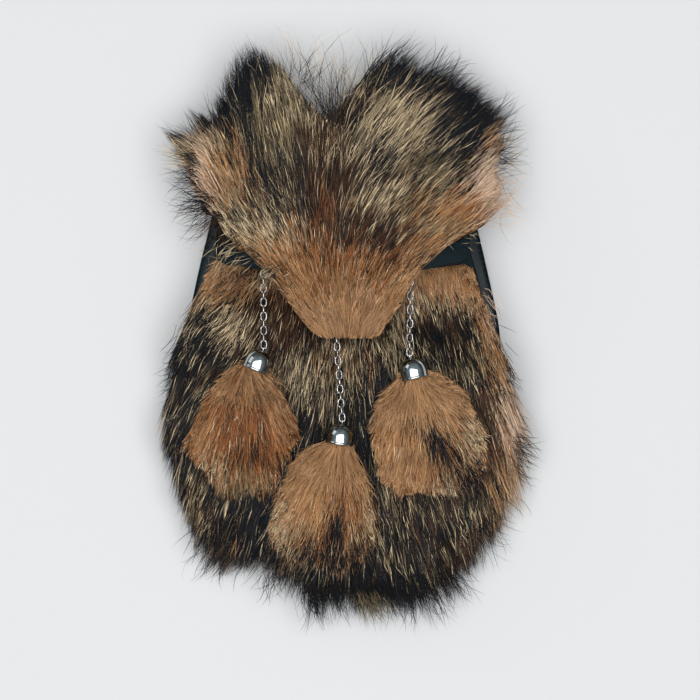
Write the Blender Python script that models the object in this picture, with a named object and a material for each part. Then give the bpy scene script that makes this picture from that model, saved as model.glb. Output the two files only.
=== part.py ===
"""A fur sporran pouch, lying on its back: +Y is its top and +Z its front.

Every size below is in millimetres. Meshes are scaled to metres as they are made, and an empty
named sporran then moves the whole part so that its origin is the middle of its footprint.
"""

from math import atan2, cos, pi, radians, sin, sqrt

import bmesh
import bpy
import numpy as np
from mathutils import Vector

MM = 0.001
GAP = 0.3
SHARP_ANGLE = 40.0
COLUMNS = np.linspace(-1.0, 1.0, 5)

# Pouch: two panels joined by a gusset that is wider at the back
WALL = 2.2
MOUTH_Y = 112.0
ARC_Y = -35.0
BOTTOM_Y = -130.0
SIDES = {"y": (-35.0, 2.0, 62.0, 112.0), "half": (98.0, 96.0, 82.0, 69.0)}
SIDE_ROWS = 6
ARC_ROWS = 6
BACK_RISE = 7.3
RISE_FROM_Y, RISE_TO_Y, RISE_ROWS = 8.0, 44.0, 6
FRONT_INSET = {"y": (-130.0, 2.0, 112.0), "inset": (5.0, 6.0, 11.0)}
EDGE_HEIGHT = {"y": (-130.0, 30.0, 112.0), "z": (30.0, 31.0, 28.0)}
CROWN = 4.0
SEAM = 1.2

# Belt loops on the back
LOOP_X, LOOP_WIDTH, LOOP_LEATHER = 38.0, 24.0, 2.0
LOOP_PATH = {"y": (95.0, 90.0, 84.0, 56.0, 50.0, 45.0), "z": (6.0, 6.0, 1.0, 1.0, 6.0, 6.0)}

# Flap leather: a tail behind the back panel, a fold over the mouth, and the front to the tongue
FLAP_WALL = 2.0
FOLD_RADIUS = 14.8
FOLD_HALF = 65.0
FOLD_ROWS = 5
TAIL_Z = 5.9
FLAP_TAIL = {"y": (99.0, 112.0), "half": (60.0, 64.0)}
FLAP_FRONT = {
    "y": (112.0, 95.0, 75.0, 58.0, 48.0, 42.0, 39.0, 36.0, 30.0, 20.0, 8.0, 0.0, -3.0),
    "z": (35.5, 41.0, 48.0, 53.0, 55.2, 55.9, 56.1, 56.3, 56.4, 56.2, 55.6, 55.0, 54.8),
    "half": (66.0, 70.0, 74.0, 76.0, 76.0, 75.0, 70.0, 47.0, 40.5, 35.0, 25.0, 17.0, 10.0),
}
FLAP_DROOP = 4.0
DROOP_OVER = 20.0
FLAP_WIDEST = 76.0

# Pelts: skin and the fur's depth over it
SKIN = 1.2
PELT_GAP = 1.3
FUR_DEPTH = 9.0
FUR_TOP_Y = 42.0
FUR_THINS = {"y": (24.0, 44.0), "by": (0.0, 4.0)}
LOCK_RINGS = {"along": (0.0, 0.38, 0.8), "width": (0.6, 1.0, 0.7)}
LOCK_SECTION = {"across": (-1.0, 0.0, 1.0, 0.0), "up": (0.0, 1.0, 0.0, -1.0)}
OVERHANG_SLOPE = 3.2
EDGE_CLEAR = 10.0
FLOOR_CLEAR = 0.6
ROOT_SHARE = 0.6
ROOT_COVER = 6.0
ROOT_STEP = 3.0

# Tips of the front fur's hem, clockwise from the upper left, as seen from the front
HEM_CENTRE = (0.0, -40.0)
HEM = {
    "x": (-99, -107, -113, -110, -98, -86, -62, -38, -14, 12, 34, 52, 82, 98, 110, 118, 113, 100),
    "y": (8, -26, -62, -92, -120, -144, -152, -164, -181, -176, -173, -181, -157, -124, -96, -60, -28, 4),
    "z": (30, 12, 2, 1, 1, 1, 1, 1, 1, 1, 1, 1, 1, 1, 1, 2, 10, 30),
}

HEM_FALL = {"from": 0.74, "curve": 0.45}
FRONT_ROWS = {"scale": (0.76, 0.52, 0.26), "count": (12, 7, 4), "turn": (0.5, 0.2, 0.5)}
FUR_FLOW_FROM = (0.0, 110.0)
LOCK_LENGTH = 52.0
FRONT_LOCK = (30.0, 7.0)
RUFF_LOCK = (28.0, 9.0)
STAGGER = 0.13

# Tips of the flap's fur, clockwise from the lower left, as seen from the front
RUFF_CENTRE = (0.0, 30.0)
RUFF = {
    "x": (-92, -101, -109, -93, -77, -66, -53, -36, -20, 2, 19, 35, 56, 73, 91, 100, 102, 92),
    "y": (62, 84, 118, 128, 140, 156, 170, 160, 140, 134, 156, 173, 159, 148, 129, 110, 88, 66),
    "z": (30, 30, 32, 36, 40, 42, 44, 44, 44, 44, 44, 44, 42, 40, 36, 32, 30, 30),
}
RUFF_FALL = {"from": 0.7, "curve": 0.6}
RUFF_ROWS = {"scale": (0.78, 0.54, 0.3), "count": (9, 6, 3), "turn": (0.5, 0.3, 0.5)}
RUFF_FLOW_FROM = {"out": (0.0, 90.0), "y": (-15.0, 54.0)}
RUFF_DEPTH = {"y": (-3.0, 20.0, 60.0, 95.0), "depth": (4.0, 6.0, 12.0, 17.0)}
TONGUE_FUR = {"y": (20.0, 60.0), "depth": (3.0, 0.0)}
FLAP_SKIN = {
    "y": (124.0, 120.5, 116.5, 112.0, 98.0, 82.0, 66.0, 54.0, 42.0, 30.0, 18.0, 7.0, -2.0),
    "left": (-50.0, -58.0, -63.0, -66.0, -74.0, -76.0, -70.0, -60.0, -46.0, -33.0, -28.0, -23.0, -14.0),
    "right": (56.0, 64.0, 70.0, 74.0, 84.0, 86.0, 80.0, 67.0, 50.0, 41.0, 35.0, 30.0, 21.0),
}

# Chains of oval links, measured on the wire's middle line
WIRE = 0.9
LINK_LENGTH, LINK_WIDTH = 5.0, 3.3
LINK_BITE = 0.15
LINK_SIDES, WIRE_SIDES = 8, 4
RING_RADIUS, RING_WIRE = 1.9, 1.0
SOLDER = 0.2
ANCHOR_DROP = 3.4
ANCHOR_PLATE = (7.0, 5.0, 0.9)
SQUARE = {"across": (-1, 1, 1, -1), "up": (-1, -1, 1, 1)}

# Caps: a dome with an eye, as half-sections of radius and height above the rim
CAP_INSIDE = {"r": (5.4, 7.0, 7.0), "h": (9.0, 5.4, 0.0)}
CAP_OUTSIDE = {"r": (8.1, 8.1, 7.7, 7.0, 5.0, 2.2), "h": (0.0, 1.4, 5.0, 8.4, 10.9, 12.0)}
CAP_SIDES = 12
CAP_MIDDLE = 6.0
CAP_Z = 56.8

# Tassels, with each cap's middle, its lean from straight down, the place that its chain runs
# toward, and its count of links, which is odd. Leans are in degrees, positive to the right.
TASSELS = {
    "name": ("left", "middle", "right"),
    "cap": ((-50.2, -18.3), (-1.4, -62.2), (41.6, -23.1)),
    "cap_lean": (-24.0, -8.0, 15.0),
    "toward": ((-47.5, 42.0), (-4.5, 4.0), (40.5, 38.0)),
    "links": (13, 13, 13),
    "lean": (-8.0, -11.0, 6.0),
    "length": (76.0, 73.0, 69.0),
    "width": (56.0, 54.0, 62.0),
}
TASSEL_LIFT = 1.4
TASSEL_DEPTH = 24.0
TASSEL_LOCKS = {"count": (8, 5), "reach": (1.0, 0.84), "layer": (0.0, 1.0)}
TASSEL_LOCK_WIDTH, TASSEL_LOCK_DEPTH = 15.0, 10.0
TASSEL_BEND = {"down": 0.34, "across": 1.15}
TASSEL_SIZES = (1.0, 1.14, 0.86)
TASSEL_TIP_ARC = 0.006
NECK_RADIUS, NECK_IN, NECK_OUT = 6.3, 4.5, 9.0
NECK_SIDES = 10
NECK_SPREAD = 0.1


def between(table, key, y):
    """The value in a table's column at height y, read along straight lines."""
    ys, values = zip(*sorted(zip(table["y"], table[key])))
    return float(np.interp(y, ys, values))


def smooth_step(t):
    """0 to 1, level at both ends."""
    t = min(max(t, 0.0), 1.0)
    return t * t * (3 - 2 * t)


def material(name, colour, roughness, metallic=0.0):
    """A Principled material."""
    made = bpy.data.materials.new(name)
    made.use_nodes = True
    shader = made.node_tree.nodes["Principled BSDF"]
    shader.inputs["Base Color"].default_value = (*colour, 1.0)
    shader.inputs["Roughness"].default_value = roughness
    shader.inputs["Metallic"].default_value = metallic
    return made


def closed_mesh(points, faces):
    """A mesh of these points and faces, with corners that coincide merged and normals outward."""
    bm = bmesh.new()
    verts = [bm.verts.new(Vector(p) * MM) for p in points]
    for face in faces:
        bm.faces.new([verts[i] for i in face])
    bmesh.ops.remove_doubles(bm, verts=bm.verts, dist=0.02 * MM)
    bmesh.ops.recalc_face_normals(bm, faces=bm.faces)
    return bm


def loft(rings, tip=None):
    """A closed solid through rings of equally many points, pointed if a tip is given."""
    count = len(rings[0])
    points = [p for ring in rings for p in ring]
    faces = [tuple(range(count))]
    for k in range(len(rings) - 1):
        a, b = k * count, (k + 1) * count
        faces += [(a + i, a + (i + 1) % count, b + (i + 1) % count, b + i) for i in range(count)]
    last = (len(rings) - 1) * count
    if tip is None:
        faces.append(tuple(range(last, last + count)))
    else:
        points.append(tip)
        faces += [(last + i, last + (i + 1) % count, len(points) - 1) for i in range(count)]
    return closed_mesh(points, faces)


def closed_loop(rings):
    """A closed solid through rings of which the last meets the first, such as a link."""
    count, turns = len(rings[0]), len(rings)
    faces = []
    for k in range(turns):
        a, b = k * count, (k + 1) % turns * count
        faces += [(a + i, a + (i + 1) % count, b + (i + 1) % count, b + i) for i in range(count)]
    return closed_mesh([p for ring in rings for p in ring], faces)


def plate(upper, lower):
    """A closed solid between two grids of points, each a list of rows."""
    rows, columns = len(upper), len(upper[0])
    points = [p for row in upper for p in row] + [p for row in lower for p in row]
    under = rows * columns
    faces = []
    for r in range(rows - 1):
        for c in range(columns - 1):
            quad = (r * columns + c, r * columns + c + 1, (r + 1) * columns + c + 1, (r + 1) * columns + c)
            if len({tuple(np.round(points[i], 2)) for i in quad}) > 2:
                faces += [quad, tuple(under + i for i in reversed(quad))]
    rim = [c for c in range(columns)]
    rim += [r * columns + columns - 1 for r in range(1, rows)]
    rim += [(rows - 1) * columns + c for c in reversed(range(columns - 1))]
    rim += [r * columns for r in reversed(range(1, rows - 1))]
    for i, j in zip(rim, rim[1:] + rim[:1]):
        if (Vector(points[i]) - Vector(points[j])).length > 0.01:
            faces.append((i, j, under + j, under + i))
    return closed_mesh(points, faces)


def add_object(name, bm, look, smooth=True):
    """Makes an object of a closed mesh."""
    mesh = bpy.data.meshes.new(name)
    bm.to_mesh(mesh)
    bm.free()
    if smooth:
        mesh.shade_smooth()
        mesh.set_sharp_from_angle(angle=radians(SHARP_ANGLE))
    made = bpy.data.objects.new(name, mesh)
    made.data.materials.append(look)
    bpy.context.scene.collection.objects.link(made)
    return made


def volume(mesh):
    """The volume that a closed mesh holds."""
    bm = bmesh.new()
    bm.from_mesh(mesh)
    size = bm.calc_volume()
    bm.free()
    return size


def united(base, other, solver):
    """The mesh of two objects joined into one body."""
    union = base.modifiers.new("union", "BOOLEAN")
    union.operation = "UNION"
    union.solver = solver
    union.object = other
    seen = base.evaluated_get(bpy.context.evaluated_depsgraph_get())
    joined = bpy.data.meshes.new_from_object(seen)
    base.modifiers.clear()
    return joined


def fill_cavities(mesh):
    """Deletes the shells of hollows that joined tufts enclose, and leaves the outer surface."""
    bm = bmesh.new()
    bm.from_mesh(mesh)
    left, shells = set(bm.verts), []
    while left:
        shell, edge = set(), [left.pop()]
        while edge:
            vert = edge.pop()
            shell.add(vert)
            near = {e.other_vert(vert) for e in vert.link_edges} & left
            left -= near
            edge.extend(near)
        shells.append(shell)
    outer = max(shells, key=len)
    bmesh.ops.delete(bm, geom=[v for v in bm.verts if v not in outer], context="VERTS")
    bm.to_mesh(mesh)
    bm.free()


def fuse(name, solids, look):
    """One body: the first solid joined to each of the others in turn.

    Where the exact solver loses a body, the joined mesh holds less than before, and the manifold
    solver makes that join.
    """
    base = add_object(name, solids[0], look)
    for solid in solids[1:]:
        other = add_object("other", solid, look)
        joined = united(base, other, "EXACT")
        if volume(joined) < max(volume(base.data), volume(other.data)):
            joined = united(base, other, "MANIFOLD")
        base.data = joined
        bpy.data.objects.remove(other)
    fill_cavities(base.data)
    return base


# Pouch


def half_width(y):
    """Half the back panel's width at height y."""
    if y >= ARC_Y:
        return between(SIDES, "half", y)
    down = (ARC_Y - y) / (ARC_Y - BOTTOM_Y)
    return SIDES["half"][0] * sqrt(max(0.0, 1 - down * down))


def heights():
    """The rows of a panel from the mouth down: even on the sides, then round the bottom."""
    sides = np.linspace(MOUTH_Y, ARC_Y, SIDE_ROWS)
    turn = np.linspace(0, pi / 2, ARC_ROWS + 1)[1:]
    return [*sides, *(ARC_Y + (BOTTOM_Y - ARC_Y) * np.sin(turn))]


def edge_point(y, inset):
    """A point of the right edge at height y, moved inward from the back panel's outline."""
    step = 0.5
    if y - step <= BOTTOM_Y:
        return 0.0, y + inset
    slope = (half_width(y) - half_width(y - step)) / step
    size = sqrt(1 + slope * slope)
    return half_width(y) - inset / size, y + inset * slope / size


def back_z(y):
    """The underside of the back panel: level where it rests, and raised over the belt loops."""
    return BACK_RISE * smooth_step((y - RISE_FROM_Y) / (RISE_TO_Y - RISE_FROM_Y))


def front_inset(y):
    """How far the front panel's edge lies inside the back panel's."""
    return between(FRONT_INSET, "inset", y)


def front_z(x, y):
    """The underside of the front panel, crowned across the middle."""
    reach = max(half_width(y) - front_inset(y), 1.0)
    across = max(0.0, 1 - (x / reach) ** 2)
    return between(EDGE_HEIGHT, "z", y) + CROWN * across


def panel_grid(inset_at, height_at, columns, rows):
    """Rows of points over a panel's outline."""
    grid = []
    for y in rows:
        edge_x, edge_y = edge_point(y, inset_at(y))
        grid.append([(s * edge_x, edge_y, height_at(s * edge_x, edge_y)) for s in columns])
    return grid


def make_back_panel(look):
    columns = (-1.0, 1.0)
    lower = panel_grid(lambda y: 0.0, lambda x, y: back_z(y), columns, back_rows())
    upper = panel_grid(lambda y: 0.0, lambda x, y: back_z(y) + WALL, columns, back_rows())
    return add_object("back_panel", plate(upper, lower), look)


def back_rows():
    """The back panel's rows, with more of them where it rises."""
    rise = np.linspace(RISE_FROM_Y, RISE_TO_Y, RISE_ROWS)
    return sorted({*(round(float(y), 3) for y in (*heights(), *rise))}, reverse=True)


def make_front_panel(look):
    lower = panel_grid(front_inset, front_z, COLUMNS, heights())
    upper = panel_grid(front_inset, lambda x, y: front_z(x, y) + WALL, COLUMNS, heights())
    return add_object("front_panel", plate(upper, lower), look)


def make_gusset(look):
    """The wall between the panels, round both sides and the bottom."""
    rows = back_rows()
    path = [(1, y) for y in rows] + [(-1, y) for y in reversed(rows[:-1])]
    rings = []
    for side, y in path:
        section = (
            (SEAM, "back"),
            (front_inset(y) + SEAM, "front"),
            (front_inset(y) + SEAM + WALL, "front"),
            (SEAM + WALL, "back"),
        )
        ring = []
        for inset, end in section:
            x, at = edge_point(y, inset)
            z = back_z(at) + WALL + GAP if end == "back" else front_z(x, at) - GAP
            ring.append((side * x, at, z))
        rings.append(ring)
    return add_object("gusset", loft(rings), look)


def strip(path, x_low, x_high, thickness):
    """A strap along a path of (y, z) points, with mitred corners."""
    points = [Vector(p) for p in path]
    upper, lower = [], []
    for i, p in enumerate(points):
        ways = []
        if i:
            ways.append((p - points[i - 1]).normalized())
        if i < len(points) - 1:
            ways.append((points[i + 1] - p).normalized())
        along = sum(ways, Vector((0.0, 0.0))).normalized()
        out = Vector((-along.y, along.x)) * (thickness / 2 / max(along.dot(ways[0]), 0.5))
        upper.append([(x, *(p - out)) for x in (x_low, x_high)])
        lower.append([(x, *(p + out)) for x in (x_low, x_high)])
    return plate(upper, lower)


def make_belt_loops(look):
    for name, x in (("left", -LOOP_X), ("right", LOOP_X)):
        path = list(zip(LOOP_PATH["y"], LOOP_PATH["z"]))
        bm = strip(path, x - LOOP_WIDTH / 2, x + LOOP_WIDTH / 2, LOOP_LEATHER)
        add_object("belt_loop_" + name, bm, look, smooth=False)


# Flap


def flap_droop(x, y):
    """How far the flap's sides sink below its middle, which is nothing at the fold."""
    return FLAP_DROOP * (x / FLAP_WIDEST) ** 2 * smooth_step((MOUTH_Y - y) / DROOP_OVER)


def flap_z(x, y):
    """The middle of the flap's leather over the front, and past the fold as if it went on level."""
    return between(FLAP_FRONT, "z", y) - flap_droop(x, y)


def flap_path():
    """(y, z, half width, slope direction) from the tail, over the fold, to the tongue's tip."""
    rows = [(y, TAIL_Z, half) for y, half in zip(*FLAP_TAIL.values())]
    for angle in np.linspace(-pi / 2, pi / 2, FOLD_ROWS + 2)[1:-1]:
        y = MOUTH_Y + FOLD_RADIUS * cos(angle)
        z = TAIL_Z + FOLD_RADIUS * (1 + sin(angle))
        rows.append((y, z, FOLD_HALF))
    rows += list(zip(FLAP_FRONT["y"], FLAP_FRONT["z"], FLAP_FRONT["half"]))
    return rows


def make_flap_leather(look):
    rows = flap_path()
    upper, lower = [], []
    for i, (y, z, half) in enumerate(rows):
        before, after = rows[max(i - 1, 0)], rows[min(i + 1, len(rows) - 1)]
        along = Vector((after[0] - before[0], after[1] - before[1])).normalized()
        out = Vector((along.y, -along.x)) * (FLAP_WALL / 2)
        top, bottom = [], []
        for s in COLUMNS:
            x = s * half
            level = z - flap_droop(x, y) if z > TAIL_Z + FOLD_RADIUS else z
            top.append((x, y + out.x, level + out.y))
            bottom.append((x, y - out.x, level - out.y))
        upper.append(top)
        lower.append(bottom)
    return add_object("flap_leather", plate(upper, lower), look)


# Fur


def lock(path, width, depth, ground):
    """A pointed tuft along a path, kept above the ground: a flat diamond that swells and tapers."""
    points = [Vector(p) for p in path]
    rings = []
    for i, share in enumerate(LOCK_RINGS["width"]):
        along = (points[i + 1] - points[max(i - 1, 0)]).normalized()
        side = along.cross(Vector((0, 0, 1))).normalized() * (width * share / 2)
        up = side.cross(along).normalized() * (depth * share / 2)
        ring = [points[i] + side * a + up * b for a, b in zip(*LOCK_SECTION.values())]
        rings.append([(p.x, p.y, max(p.z, ground(p.x, p.y))) for p in ring])
    x, y, z = points[-1]
    return loft(rings, tip=(x, y, max(z, ground(x, y))))


def toward(table, centre, x, y):
    """Where (x, y) lies from a table's centre (0) to its ring of tips (1), and the tips' height there."""
    across = np.array(table["x"]) - centre[0]
    upward = np.array(table["y"]) - centre[1]
    angles = np.arctan2(upward, across)
    order = np.argsort(angles)
    here = atan2(y - centre[1], x - centre[0])
    ring = np.interp(here, angles[order], np.hypot(across, upward)[order], period=2 * pi)
    height = np.interp(here, angles[order], np.array(table["z"])[order], period=2 * pi)
    return sqrt((x - centre[0]) ** 2 + (y - centre[1]) ** 2) / float(ring), float(height)


def front_top(x, y):
    """The outside of the front fur: over the panel, then down past its edge to the surface."""
    out, tip_z = toward(HEM, HEM_CENTRE, x, y)
    inner = between(EDGE_HEIGHT, "z", y) + CROWN + WALL + GAP + SKIN + FUR_DEPTH
    inner -= between(FUR_THINS, "by", y)
    fall = min(max((out - HEM_FALL["from"]) / (1 - HEM_FALL["from"]), 0.0), 1.0)
    return tip_z + (inner - tip_z) * (1 - fall) ** HEM_FALL["curve"]


def skin_top(x, y):
    """The upper side of the front pelt's skin."""
    return front_z(x, y) + WALL + GAP + SKIN


def past_edge(x, y):
    """How far (x, y) lies outside the front panel, or less than 0 over it."""
    if y >= ARC_Y:
        return abs(x) - (half_width(y) - front_inset(y))
    wide, deep = half_width(ARC_Y) - front_inset(ARC_Y), ARC_Y - BOTTOM_Y - front_inset(BOTTOM_Y)
    angle = atan2(ARC_Y - y, abs(x))
    edge = wide * deep / sqrt((deep * cos(angle)) ** 2 + (wide * sin(angle)) ** 2)
    return sqrt(x * x + (y - ARC_Y) ** 2) - edge


def front_ground(x, y):
    """The lowest that the front fur may reach: in its skin, then clear of the gusset to the surface."""
    over = max(past_edge(x, y) - EDGE_CLEAR, 0.0)
    return max(skin_top(x, y) - SKIN / 2 - over * OVERHANG_SLOPE, FLOOR_CLEAR)


def front_lock(tip, root, width, depth, lift):
    """A tuft of the front fur, from the skin up to the fur's outside and along it to its tip."""
    path = []
    for along, share in zip((*LOCK_RINGS["along"], 1.0), (*LOCK_RINGS["width"], 0.0)):
        x, y = (a + (b - a) * along for a, b in zip(root, tip))
        high, low = front_top(x, y) - depth * share / 2, front_ground(x, y) + depth * share / 2
        path.append((x, y, low if along == 0 else max(low, high) + lift))
    return lock(path, width, depth, lambda x, y: front_ground(x, y) + lift)


def root_of(tip, flow_from, top, on_skin):
    """A tuft's root: back along the fur's flow from its tip, on as far as the skin, but below the top."""
    tip = Vector(tip)
    back = (Vector(flow_from) - tip).normalized()
    length = min(LOCK_LENGTH, (Vector(flow_from) - tip).length * ROOT_SHARE)
    while not on_skin(*(tip + back * (length - ROOT_COVER))) and length < 2 * LOCK_LENGTH:
        length += ROOT_STEP
    if back.y > 0:
        length = min(length, (top - tip.y) / back.y)
    return tip + back * length


def ring_of_tips(table, centre, scale, count, turn):
    """Points spaced evenly round a table's ring of tips, drawn in toward its centre."""
    places = (np.arange(count) + turn) / count * (len(table["x"]) - 1)
    spots = np.arange(len(table["x"]))
    for place in places:
        x, y = (float(np.interp(place, spots, table[key])) for key in "xy")
        yield centre[0] + (x - centre[0]) * scale, centre[1] + (y - centre[1]) * scale


def make_front_fur(look):
    rows = [FUR_TOP_Y, *(y for y in heights() if y < FUR_TOP_Y - ROOT_COVER)]
    lower = panel_grid(front_inset, lambda x, y: front_z(x, y) + WALL + GAP, COLUMNS, rows)
    upper = panel_grid(front_inset, skin_top, COLUMNS, rows)
    solids = [plate(upper, lower)]
    tips = list(zip(HEM["x"], HEM["y"]))
    for scale, count, turn in zip(*FRONT_ROWS.values()):
        tips += ring_of_tips(HEM, HEM_CENTRE, scale, count, turn)
    for k, tip in enumerate(tips):
        root = root_of(tip, FUR_FLOW_FROM, FUR_TOP_Y - ROOT_STEP, lambda x, y: past_edge(x, y) < 0)
        solids.append(front_lock(tip, root, *FRONT_LOCK, lift=STAGGER * (k % 5)))
    return fuse("front_fur", solids, look)


def flap_skin_z(x, y):
    """The underside of the flap's pelt: just over the leather, and round the fold."""
    clear = FLAP_WALL / 2 + PELT_GAP
    if y <= MOUTH_Y:
        return flap_z(x, y) + clear
    radius = FOLD_RADIUS + clear
    middle = TAIL_Z + FOLD_RADIUS
    return middle + sqrt(max(radius**2 - (y - MOUTH_Y) ** 2, 0.0))


def ruff_top(x, y):
    """The outside of the flap's fur."""
    out, tip_z = toward(RUFF, RUFF_CENTRE, x, y)
    inner = flap_z(x, y) + FLAP_WALL / 2 + PELT_GAP + SKIN + between(RUFF_DEPTH, "depth", y)
    fall = min(max((out - RUFF_FALL["from"]) / (1 - RUFF_FALL["from"]), 0.0), 1.0)
    return tip_z + (inner - tip_z) * (1 - fall) ** RUFF_FALL["curve"]


def over_flap_skin(x, y):
    """Whether (x, y) is over the skin of the flap's pelt."""
    if not FLAP_SKIN["y"][-1] < y < FLAP_SKIN["y"][0]:
        return False
    return between(FLAP_SKIN, "left", y) < x < between(FLAP_SKIN, "right", y)


def ruff_ground(x, y):
    """The lowest that the flap's fur may reach: in its skin, and lower past the leather's edges."""
    over = max(abs(x) - FLAP_WIDEST - EDGE_CLEAR, 0.0)
    return flap_skin_z(x, min(y, MOUTH_Y)) + SKIN / 2 - over * OVERHANG_SLOPE


def ruff_lock(tip, root, width, depth, lift):
    """A tuft of the flap's fur, from the skin up and outward to its tip."""
    path = []
    for along, share in zip((*LOCK_RINGS["along"], 1.0), (*LOCK_RINGS["width"], 0.0)):
        x, y = (a + (b - a) * along for a, b in zip(root, tip))
        high, low = ruff_top(x, y) - depth * share / 2, ruff_ground(x, y) + depth * share / 2
        path.append((x, y, low if along == 0 else max(low, high) + lift))
    return lock(path, width, depth, lambda x, y: ruff_ground(x, y) + lift)


def make_flap_fur(look):
    upper, lower = [], []
    for y, left, right in zip(*(FLAP_SKIN[key] for key in ("y", "left", "right"))):
        xs = np.linspace(left, right, len(COLUMNS))
        short = between(TONGUE_FUR, "depth", y)
        lower.append([(x, y, flap_skin_z(x, y)) for x in xs])
        upper.append([(x, y, flap_skin_z(x, y) + SKIN + short) for x in xs])
    solids = [plate(upper, lower)]
    tips = list(zip(RUFF["x"], RUFF["y"]))
    for scale, count, turn in zip(*RUFF_ROWS.values()):
        tips += ring_of_tips(RUFF, RUFF_CENTRE, scale, count, turn)
    for k, tip in enumerate(tips):
        flow_y = float(np.interp(abs(tip[0]), RUFF_FLOW_FROM["out"], RUFF_FLOW_FROM["y"]))
        root = root_of(tip, (0.0, flow_y), MOUTH_Y, over_flap_skin)
        solids.append(ruff_lock(tip, root, *RUFF_LOCK, lift=STAGGER * (k % 5)))
    return fuse("flap_fur", solids, look)


# Chains, caps and tassels


def wire_loop(middle, long_way, wide_way, length, width, wire, sides):
    """A closed loop of wire: two half circles and the straights between them."""
    straight = (length - width) / 2
    normal = long_way.cross(wide_way)
    rings = []
    for end in (1, -1):
        for k in range(sides // 2):
            angle = -pi / 2 + pi * k / (sides // 2 - 1)
            out = (long_way * cos(angle) + wide_way * sin(angle)) * end
            place = middle + long_way * (straight * end) + out * (width / 2)
            turns = (pi + 2 * pi * i / WIRE_SIDES for i in range(WIRE_SIDES))
            rings.append([place + (out * cos(t) + normal * sin(t)) * (wire / 2) for t in turns])
    return closed_loop(rings)


def chain_length(count):
    """From the first link's end to the last's, on the wire's middle line."""
    return LINK_LENGTH + (count - 1) * (LINK_LENGTH - WIRE + LINK_BITE)


def make_chain(name, start, end, count, look):
    """Oval links in turn flat and on edge, each biting a little into the next."""
    along = (end - start).normalized()
    flat = along.cross(Vector((0, 0, 1))).normalized()
    upright = flat.cross(along)
    first = (start + end - along * (chain_length(count) - LINK_LENGTH)) / 2
    solids = []
    for k in range(count):
        wide = flat if k % 2 == 0 else upright
        middle = first + along * (k * (LINK_LENGTH - WIRE + LINK_BITE))
        solids.append(wire_loop(middle, along, wide, LINK_LENGTH, LINK_WIDTH, WIRE, LINK_SIDES))
    return fuse(name, solids, look)


def round_rings(rim, axis, radii, heights_up, sides):
    """Circles round an axis, at heights above a rim's middle."""
    across = axis.cross(Vector((0, 0, 1))).normalized()
    upright = across.cross(axis)
    rings = []
    for r, h in zip(radii, heights_up):
        turns = (2 * pi * i / sides for i in range(sides))
        rings.append([rim + axis * h + (across * cos(t) + upright * sin(t)) * r for t in turns])
    return rings


def make_cap(name, rim, axis, look):
    """A dome and the eye soldered to its top. Returns the eye's middle."""
    rings = round_rings(rim, axis, CAP_INSIDE["r"], CAP_INSIDE["h"], CAP_SIDES)
    rings += round_rings(rim, axis, CAP_OUTSIDE["r"], CAP_OUTSIDE["h"], CAP_SIDES)
    eye = rim + axis * (CAP_OUTSIDE["h"][-1] + RING_RADIUS - SOLDER)
    size = 2 * RING_RADIUS
    loop = wire_loop(eye, axis, Vector((0, 0, 1)), size, size, RING_WIRE, LINK_SIDES)
    fuse(name, [loft(rings), loop], look)
    return eye


def make_anchor(name, eye, look):
    """A plate under the flap's leather with a ring that the chain hangs from."""
    wide, long, thick = ANCHOR_PLATE
    top = eye.z + RING_RADIUS + thick - SOLDER
    corners = [(eye.x + a * wide / 2, eye.y + b * long / 2) for a, b in zip(*SQUARE.values())]
    rings = [[(x, y, z) for x, y in corners] for z in (top - thick, top)]
    size = 2 * RING_RADIUS
    loop = wire_loop(eye, Vector((0, 1, 0)), Vector((0, 0, 1)), size, size, RING_WIRE, LINK_SIDES)
    return fuse(name, [loft(rings), loop], look)


def tassel_ground(x, y):
    """The lowest that a tassel may reach, just over the front fur."""
    return front_top(x, y) + TASSEL_LIFT


def tassel_path(rim, lean, length, offset, layer):
    """A lock's path: out of the neck, across to its own side, then down to its tip."""
    down = Vector((sin(lean), -cos(lean)))
    side = Vector((cos(lean), sin(lean)))
    start = Vector((NECK_OUT - SOLDER, NECK_SPREAD * offset))
    bend = Vector((TASSEL_BEND["down"] * length, TASSEL_BEND["across"] * offset))
    end = Vector((length - TASSEL_TIP_ARC * offset**2, offset))
    path = []
    for along in (*LOCK_RINGS["along"], 1.0):
        spot = start * (1 - along) ** 2 + bend * (2 * along * (1 - along)) + end * along**2
        flat = Vector(rim[:2]) + down * spot.x + side * spot.y
        ground = front_top(*flat) + TASSEL_LIFT + TASSEL_LOCK_DEPTH / 2
        rise = (TASSEL_DEPTH - TASSEL_LOCK_DEPTH) * layer * (1 - along**2) ** 0.5
        level = ground + rise
        blend = smooth_step(along / LOCK_RINGS["along"][1])
        path.append((flat.x, flat.y, rim[2] * (1 - blend) + level * blend))
    return path


def make_tassel(name, rim, axis, lean, length, width, look):
    """Locks in two layers that fan out of a round head, which sits in the cap."""
    head = round_rings(rim, axis, (NECK_RADIUS,) * 2, (NECK_IN, -NECK_OUT), NECK_SIDES)
    solids = [loft(head)]
    for count, reach, layer in zip(*TASSEL_LOCKS.values()):
        half = (width / 2 - TASSEL_LOCK_WIDTH / 3) * reach
        for k, offset in enumerate(np.linspace(-half, half, count)):
            path = tassel_path(rim, radians(lean), length * reach, offset, layer)
            size = TASSEL_SIZES[k % len(TASSEL_SIZES)]
            wide, deep = TASSEL_LOCK_WIDTH * size, TASSEL_LOCK_DEPTH * size
            solids.append(lock(path, wide, deep, tassel_ground))
    return fuse(name, solids, look)


def chain_top(eye, toward_spot, count):
    """Where a chain of so many links ends under the flap: its ring's middle."""
    way = Vector((toward_spot[0] - eye.x, toward_spot[1] - eye.y)).normalized()
    flat = chain_length(count)
    for _ in range(4):
        x, y = eye.x + way.x * flat, eye.y + way.y * flat
        z = flap_z(x, y) - FLAP_WALL / 2 - ANCHOR_DROP
        flat = sqrt(chain_length(count) ** 2 - (eye.z - z) ** 2)
    return Vector((x, y, z))


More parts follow.
